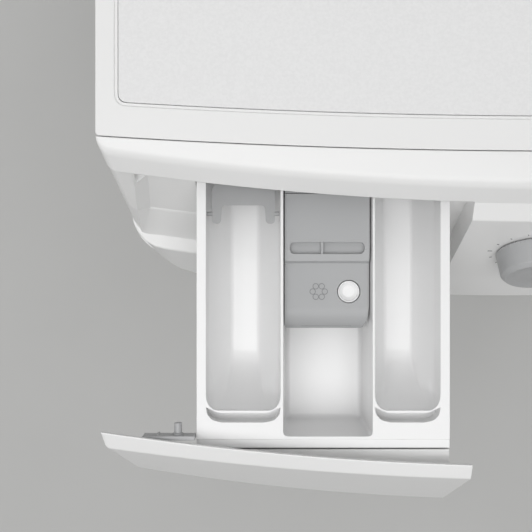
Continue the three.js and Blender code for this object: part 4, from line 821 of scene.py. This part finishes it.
def detergent_flap():
    low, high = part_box("detergent_flap")
    left, right = MAIN_LEFT + 0.0034, MAIN_LEFT + MAIN_WIDE - 0.0037
    axis = drawn(0.1566)
    middle = (low.z + high.z) / 2
    half = 0.0008
    rear = axis + 0.033
    outline = [
        (left, axis - 0.0067), (left + 0.006, axis - 0.0067), (left + 0.0068, axis + 0.0058),
        (right - 0.0068, axis + 0.0058), (right - 0.006, axis - 0.0067), (right, axis - 0.0067),
        (right, rear - 0.017), (right - 0.004, rear - 0.008), (right - 0.012, rear), (left + 0.012, rear),
        (left + 0.004, rear - 0.008), (left, rear - 0.017),
    ]
    radii = [0.003, 0.003, 0.0028, 0.0028, 0.003, 0.003, 0, 0.003, 0.003, 0.003, 0.003, 0]
    plate = slab("flap_plate", outline, middle - half, middle + half, radii, 6)
    pins = []
    for x in ((left - 0.003, left + 0.0006), (right - 0.0006, right + 0.003)):
        pin = rod("pin", 0.0015, x, (0, 0), "Z", 24)
        pin.data.transform(Matrix.Translation((0, axis, middle)) @ Matrix.Rotation(PI / 2, 4, "Y"))
        pins.append(pin)
    fitted(eased(joined(plate, *pins), 0.00025, 2, 40), "flap", "flap_plastic", FLAP, "detergent_flap")


# ---- cabinet
FRONT_FACE = 0.017
FRONT_EDGE, WRAP = 0.035, 0.038
REAR_FACE = FRONT + DEPTH - 0.018
TUB_RADIUS = 0.266
MOUTH = TUB_RADIUS - 0.088
DOOR_RADIUS = MOUTH + 0.044
WINDOW = MOUTH - 0.029
LATCH_X = DOOR_RADIUS - 0.026
HATCH_LOW, HATCH_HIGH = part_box("filter_flap")


def back(distance):
    return FRONT + distance


def lathe(name, profile, radii=None, steps=144, around=(0.0, AXIS_Z)):
    """A profile in (radius, distance behind the drawer front) turned round a line along Y."""
    return turned(name, [(r, back(d)) for r, d in profile], radii, around, steps)


def front_outline(margin, end):
    radius = FRONT_EDGE - margin
    arc = []
    for i in range(13):
        turn = i * PI / 24
        across = HALF - FRONT_EDGE + radius * math.sin(turn)
        arc.append((across, back(FRONT_FACE + FRONT_EDGE - radius * math.cos(turn))))
    left = [(-x, y) for x, y in reversed(arc)]
    return left + arc + [(HALF - margin, back(end)), (-HALF + margin, back(end))]


def front_panel():
    low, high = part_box("front_panel")
    sheet = slab("front_sheet", front_outline(0, FRONT_FACE + WRAP), low.z, high.z)
    hollow = slab("hollow", front_outline(SHEET, FRONT_FACE + WRAP + 0.001), low.z + SHEET, high.z - SHEET)
    reach = (back(0), back(0.06))
    door_hole = rod("door_hole", MOUTH, reach, (0, AXIS_Z), steps=144)
    hatch = rounded_box("hatch", (HATCH_LOW.x - GAP, HATCH_HIGH.x + GAP), reach,
                        (HATCH_LOW.z - GAP, HATCH_HIGH.z + GAP), 0.003)
    latch = rounded_box("latch", (LATCH_X - 0.009, LATCH_X + 0.012), reach, about(AXIS_Z, 0.012), 0.003)
    piece = cut(sheet, hollow, door_hole, hatch, latch)
    fitted(eased(piece, 0.0005, 2, 40), "cabinet", "white_panel", ENAMEL, "front_panel")


def softened(node, body, slot, material, width=0.0005):
    """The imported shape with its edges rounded."""
    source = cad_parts[node]
    obj = shown(node + "_finish", source.data.copy())
    obj.matrix_world = source.matrix_world.copy()
    if width:
        work = bmesh.new()
        work.from_mesh(obj.data)
        bmesh.ops.remove_doubles(work, verts=work.verts, dist=1e-6)
        bmesh.ops.dissolve_limit(work, angle_limit=math.radians(1), verts=work.verts, edges=work.edges)
        work.to_mesh(obj.data)
        work.free()
    return fitted(eased(obj, width, 3, 34), body, slot, material, node)


def screw(x, z, y, radius=0.0042):
    head = turned("screw", [(0, y - 0.0006), (radius, y - 0.0006), (radius, y + 0.0016), (0, y + 0.0023)],
                  [0, 0, 0.0008, 0], (x, z), 32)
    marks = [brick("slot", about(x, wide), (y + 0.0012, y + 0.004), about(z, high))
             for wide, high in ((0.0026, 0.0005), (0.0005, 0.0026))]
    return cut(head, *marks)


def rear_screws():
    low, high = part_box("rear_access_cover")
    rim = REAR_FACE + GAP + SHEET
    margin = 0.014
    heights = (low.z + margin, (low.z + high.z) / 2, high.z - margin)
    spots = [(x, z, rim) for x in (low.x + margin, high.x - margin) for z in heights]
    spots += [(x, z, REAR_FACE) for x in (-HALF + 0.03, HALF - 0.03) for z in (0.09, 0.36, 0.62, 0.79)]
    heads = [screw(*spot) for spot in spots]
    fitted(eased(together("rear_screws", heads), 0.0), "cabinet", "bright_steel", STEEL)


def cabinet():
    front_panel()
    for side in ("left", "right"):
        softened(side + "_side_panel", "cabinet", "white_panel", ENAMEL, 0.0004)
    softened("rear_panel", "cabinet", "galvanised", ZINC, 0.0004)
    softened("rear_access_cover", "cabinet", "galvanised", ZINC, 0.0005)
    softened("base_tray", "cabinet", "black_plastic", BLACK, 0.0008)
    rear_screws()
    softened("inlet_valve", "cabinet", "tub_plastic", TUB, 0.0006)
    softened("cord_gland", "cabinet", "black_plastic", BLACK, 0.0004)
    softened("drain_hose", "cabinet", "black_plastic", BLACK, 0.0)
    for spot in ("front_left", "front_right", "rear_left", "rear_right"):
        softened("foot_" + spot, "foot_" + spot + "_body", "black_plastic", BLACK, 0.0006)
    softened("filter_flap", "filter_hatch", "white_panel", WHITE, 0.0012)
    pump_filter()


def pump_filter():
    low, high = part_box("pump_filter")
    x, z = (low.x + high.x) / 2, (low.z + high.z) / 2
    radius = (high.x - low.x) / 2
    front = low.y
    ridges = []
    profile = [(0, front + 0.006), (radius, front + 0.006), (radius, front + 0.016), (0, front + 0.016)]
    disc = turned("filter_cap", profile, [0, 0.0015, 0.0008, 0], (x, z), 96)
    profile = [(0, front + 0.015), (radius - 0.006, front + 0.015), (radius - 0.006, front + 0.022),
               (radius - 0.008, front + 0.023), (radius - 0.008, high.y), (0, high.y)]
    core = turned("core", profile, None, (x, z), 64)
    for turn in turns(28):
        spot = (x + (radius + 0.0004) * math.cos(turn), z + (radius + 0.0004) * math.sin(turn))
        ridges.append(rod("ridge", 0.0011, (front + 0.004, front + 0.018), spot, steps=12))
    bar = rounded_box("bar", about(x, 0.004), (front, front + 0.007), about(z, 0.018), 0.0025)
    piece = cut(disc, together("ridges", ridges))
    fitted(eased(joined(piece, core, bar), 0.0005, 2, 36), "filter", "tub_plastic", TUB, "pump_filter")


# ---- door
def door():
    rear = FRONT_FACE - 0.0015
    profile = [
        (DOOR_RADIUS, rear), (DOOR_RADIUS, 0.002), (DOOR_RADIUS - 0.010, -0.008),
        (DOOR_RADIUS - 0.038, -0.014), (WINDOW + 0.005, -0.013), (WINDOW, -0.008), (WINDOW, 0.006),
        (DOOR_RADIUS - 0.006, 0.006), (DOOR_RADIUS - 0.006, rear),
    ]
    ring = lathe("door_ring", profile, [0.001, 0.006, 0.01, 0.02, 0.003, 0.003, 0.0008, 0, 0.0005], 192)
    grip = brick("grip", (DOOR_RADIUS - 0.014, DOOR_RADIUS + 0.005), (back(-0.002), back(FRONT_FACE)),
                 about(AXIS_Z, 0.044))
    strap = brick("strap", (-DOOR_RADIUS - 0.005, -DOOR_RADIUS + 0.018), (back(-0.005), back(FRONT_FACE)),
                  about(AXIS_Z, 0.031))
    fitted(eased(cut(ring, grip, strap), 0.0006, 3, 38), "door", "door_white", DOOR_WHITE, "door_frame")
    flange, deep = 0.0065, 0.104
    bowl = [
        (0, deep), (WINDOW - 0.044, deep), (WINDOW - 0.028, deep - 0.010), (WINDOW - 0.010, flange + 0.024),
        (WINDOW - 0.004, flange + 0.004), (WINDOW + 0.025, flange + 0.004), (WINDOW + 0.025, flange),
        (WINDOW - 0.007, flange), (WINDOW - 0.014, flange + 0.022), (WINDOW - 0.032, deep - 0.013),
        (WINDOW - 0.046, deep - 0.004), (0, deep - 0.004),
    ]
    radii = [0, 0.008, 0.014, 0.012, 0.003, 0.001, 0.001, 0.006, 0.012, 0.012, 0.008, 0]
    fitted(eased(lathe("door_window", bowl, radii, 160), 0.0), "door", "window_glass", GLASS, "door_glass")
    softened("door_inner_ring", "door", "grey_plastic", GREY, 0.0006)
    softened("door_hinge_arm", "door", "bright_steel", STEEL, 0.0004)
    softened("door_hinge", "cabinet", "bright_steel", STEEL, 0.0004)
    softened("door_latch", "latch_hook", "bright_steel", STEEL, 0.0006)
    softened("door_lock", "cabinet", "black_plastic", BLACK, 0.0006)
    gasket()


def gasket():
    front, rear = FRONT_FACE + SHEET + GAP, 0.1035
    neck = 0.091
    profile = [
        (0.006, front), (0.006, front + 0.004), (0, front + 0.006), (0.002, 0.042), (-0.008, 0.054),
        (0.002, 0.066), (-0.001, neck), (-0.002, rear), (-0.008, rear), (-0.008, neck), (-0.004, 0.066),
        (-0.014, 0.054), (-0.004, 0.042), (-0.006, front + 0.009), (-0.018, front + 0.006),
        (-0.018, front + 0.003), (-0.004, front),
    ]
    radii = [0.001, 0.001, 0.002, 0.005, 0.005, 0.005, 0.003, 0.0008, 0.0008, 0.003, 0.006, 0.004, 0.006,
             0.002, 0.0012, 0.0012, 0.001]
    piece = lathe("door_boot", [(MOUTH + r, d) for r, d in profile], radii, 144)
    fitted(eased(piece, 0.0), "cabinet", "gasket_rubber", GASKET, "door_gasket")


# ---- drum
DRUM_RADIUS = TUB_RADIUS - 0.026
DRUM_FRONT, DRUM_BACK = 0.118, 0.425


def perforated(name, radius, thick, y, around, rows):
    """A tube of sheet with a round hole in the middle of each of its cells."""
    sides = 8
    verts, faces = [], []
    pitch = (y[1] - y[0]) / rows
    turn = 2 * PI / around
    hole = 0.0021
    ways = [(math.cos(way), math.sin(way)) for way in turns(sides)]

    def spot(layer, angle, dist):
        r = radius - layer * thick
        return r * math.cos(angle), dist, AXIS_Z + r * math.sin(angle)

    for i in range(around):
        for j in range(rows):
            first = len(verts)
            middle = ((i + 0.5) * turn, y[0] + (j + 0.5) * pitch)
            for layer in (0, 1):
                for c, s in ways:
                    reach = 1 / max(abs(c), abs(s))
                    angle, dist = middle[0] + c * reach * turn / 2, middle[1] + s * reach * pitch / 2
                    verts.append(spot(layer, angle, dist))
                for c, s in ways:
                    verts.append(spot(layer, middle[0] + c * hole / radius, middle[1] + s * hole))
            for k in range(sides):
                n = (k + 1) % sides
                outer, inner = first, first + 2 * sides
                faces.append((outer + k, outer + n, outer + sides + n, outer + sides + k))
                faces.append((inner + k, inner + sides + k, inner + sides + n, inner + n))
                faces.append((outer + sides + k, outer + sides + n, inner + sides + n, inner + sides + k))
            if j == 0 or j == rows - 1:
                marks = (5, 6, 7) if j == 0 else (1, 2, 3)
                for a, b in ((marks[0], marks[1]), (marks[1], marks[2])):
                    faces.append((first + a, first + b, first + 2 * sides + b, first + 2 * sides + a))
    return made(name, verts, faces)


def drum():
    thick = 0.0012
    lip = MOUTH - 0.0165
    start, end = DRUM_FRONT + 0.022, DRUM_BACK - 0.022
    front = lathe("drum_front", [
        (lip, DRUM_FRONT - 0.003), (lip + 0.006, DRUM_FRONT - 0.003), (DRUM_RADIUS - 0.008, DRUM_FRONT),
        (DRUM_RADIUS, DRUM_FRONT + 0.008), (DRUM_RADIUS, start), (DRUM_RADIUS - thick, start),
        (DRUM_RADIUS - thick, DRUM_FRONT + 0.009), (DRUM_RADIUS - 0.009, DRUM_FRONT + thick),
        (lip + 0.006, DRUM_FRONT - 0.003 + thick), (lip + thick, DRUM_FRONT + 0.006),
        (lip, DRUM_FRONT + 0.006),
    ], [0.002, 0.001, 0.006, 0.006, 0, 0, 0.006, 0.006, 0.001, 0, 0.0003])
    rear = lathe("drum_rear", [(DRUM_RADIUS, end), (DRUM_RADIUS, DRUM_BACK - 0.004),
                               (DRUM_RADIUS - thick, DRUM_BACK - 0.004), (DRUM_RADIUS - thick, end)])
    wall = perforated("drum_wall", DRUM_RADIUS, thick, (back(start), back(end)), 96, 18)
    piece = together("drum_tube", [front, wall, rear])
    fitted(eased(piece, 0.0), "drum", "drum_steel", DRUM, "drum_shell")
    crest, dip, flat = DRUM_BACK - 0.003, DRUM_BACK - 0.0022, DRUM_BACK - 0.001
    disc = [(0, crest), (0.05, crest), (0.056, dip), (0.13, dip), (0.136, crest), (0.2, crest), (0.206, dip),
            (DRUM_RADIUS - 0.012, dip), (DRUM_RADIUS - 0.006, crest), (DRUM_RADIUS, crest),
            (DRUM_RADIUS, flat), (0, flat)]
    radii = [0] + [0.003] * 8 + [0.0005, 0.0005, 0]
    fitted(eased(lathe("drum_disc", disc, radii), 0.0), "drum", "drum_steel", DRUM, "drum_back")


# ---- controls
def controls():
    reach, up = DISPLAY_HALF - GAP, DISPLAY_HIGH - GAP
    lens = rounded_box("display_window", about(0, reach), (0, 0.003), about(0, up), 0.0025)
    lens.data.transform(UPRIGHT)
    lens = eased(on_panel_piece(lens, DISPLAY_X), 0.0004)
    fitted(lens, "cabinet", "display_black", GLOSS_BLACK, "display_lens")
    profile = [(0, 0.0185), (KNOB - 0.012, 0.0185), (KNOB - 0.005, 0.020), (KNOB - 0.002, 0.017),
               (KNOB, 0.001), (0.004, 0.001), (0.004, -0.011), (0, -0.011)]
    radii = [0, 0.004, 0.0015, 0.002, 0.0006, 0, 0.0005, 0]
    knob = turned("programme_dial", profile, radii, (0, 0), 144, "Z")
    flutes = []
    for turn in turns(48):
        spot = ((KNOB + 0.0003) * math.cos(turn), (KNOB + 0.0003) * math.sin(turn))
        flutes.append(rod("flute", 0.0008, (-0.001, 0.014), spot, "Z", 10))
    knob = cut(knob, together("flutes", flutes))
    outline = rectangle(about(0, 0.0012), (KNOB - 0.014, KNOB - 0.006))
    pointer = slab("pointer", outline, 0.0175, 0.0205, [0.0011] * 4)
    knob = eased(joined(knob, pointer), 0.0003, 2, 40)
    fitted(on_panel_piece(knob, KNOB_X), "knob", "grey_plastic", PALE_GREY, "programme_knob")
    ticks = []
    for i, turn in enumerate(turns(16)):
        end = 0.0062 if i % 4 == 0 else 0.0048
        tick = brick("tick", (KNOB + 0.0030, KNOB + end), about(0, 0.0003), (-0.0008, 0.00008))
        tick.data.transform(Matrix.Rotation(turn, 4, "Z"))
        ticks.append(tick)
    ring = on_panel_piece(together("dial_ticks", ticks), KNOB_X)
    fitted(eased(ring, 0.0), "cabinet", "grey_plastic", MARKING)
    for name, x, body in (("power_button", POWER_X, "power_key"), ("start_button", START_X, "start_key")):
        key = [(0, 0.0024), (BUTTON - 0.005, 0.0026), (BUTTON - 0.0012, 0.003), (BUTTON, 0.0018),
               (BUTTON, -0.005), (0, -0.005)]
        cap = turned(name + "_cap", key, [0, 0.001, 0.0006, 0.0006, 0.0004, 0], (0, 0), 96, "Z")
        fitted(eased(on_panel_piece(cap, x), 0.0), body, "grey_plastic", PALE_GREY, name)


# ---- wash unit and the parts round it
INSIDE = {
    "dispenser_housing": TUB, "dispenser_cover": TUB, "tub_front": TUB, "tub_rear": TUB, "fill_hose": GASKET,
    "front_bearing": STEEL, "rear_bearing": STEEL, "spring_left": STEEL, "spring_right": STEEL,
    "damper_left": BLACK, "damper_right": BLACK, "drain_pump": BLACK, "heater": STEEL, "motor": MOTOR,
    "front_counterweight": CONCRETE, "top_counterweight": CONCRETE, "drive_belt": BELT,
    "drum_shaft": CAST, "drum_pulley": CAST, "motor_pulley": CAST,
}


def inside():
    """The nodes that keep their shape and get a finish."""
    for node, material in INSIDE.items():
        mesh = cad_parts[node].data
        mesh.materials.clear()
        mesh.materials.append(material)


# ---- the room
def light(name, kind, spot, target, energy, size):
    data = bpy.data.lights.new(name, kind)
    data.energy = energy
    data.shape, data.size, data.size_y = "RECTANGLE", size[0], size[1]
    obj = shown(name, data)
    obj.location = spot
    obj.rotation_euler = (Vector(target) - Vector(spot)).to_track_quat("-Z", "Y").to_euler()


def studio():
    reach = 6.0
    corners = rectangle(about(0, reach), about(0, reach))
    floor = made("floor", [(*corner, 0) for corner in corners], [(0, 1, 2, 3)])
    paper = Finish("pale_floor", (0.62, 0.62, 0.61), 0.85)
    paper.tint(paper.noise(3, 4), 0.02)
    floor.data.materials.append(paper.material)
    floor.location.z = -0.0002
    world = bpy.data.worlds.new("soft_world")
    world.use_nodes = True
    world.node_tree.nodes["Background"].inputs["Color"].default_value = (1, 1, 1, 1)
    world.node_tree.nodes["Background"].inputs["Strength"].default_value = 0.27
    bpy.context.scene.world = world
    middle = (-0.1, -0.1, 0.7)
    light("key", "AREA", (-0.35, -0.85, 3.0), middle, 33, (2.4, 1.6))
    light("overhead", "AREA", (-0.1, 0.9, 2.9), middle, 9, (2.4, 1.6))
    light("left", "AREA", (-2.6, -0.6, 2.2), middle, 9, (1.6, 1.6))
    light("front", "AREA", (0.9, -2.9, 1.7), (0, 0, 0.45), 5, (1.8, 1.4))
    light("right_rear", "AREA", (2.4, 1.9, 2.1), middle, 8, (1.6, 1.6))


def camera():
    data = bpy.data.cameras.new("camera")
    data.sensor_width = 36.0
    data.lens = 61.44
    data.clip_start, data.clip_end = 0.05, 30
    obj = shown("camera", data)
    obj.location = (-0.1906, FRONT + 0.0079, 1.42)
    bpy.context.scene.camera = obj


bpy.context.scene.view_settings.view_transform = "Standard"
camera()
studio()
worktop()
control_panel()
drawer_tray()
drawer_front()
drawer_bracket()
softener_cap()
detergent_flap()
cabinet()
door()
drum()
controls()
inside()
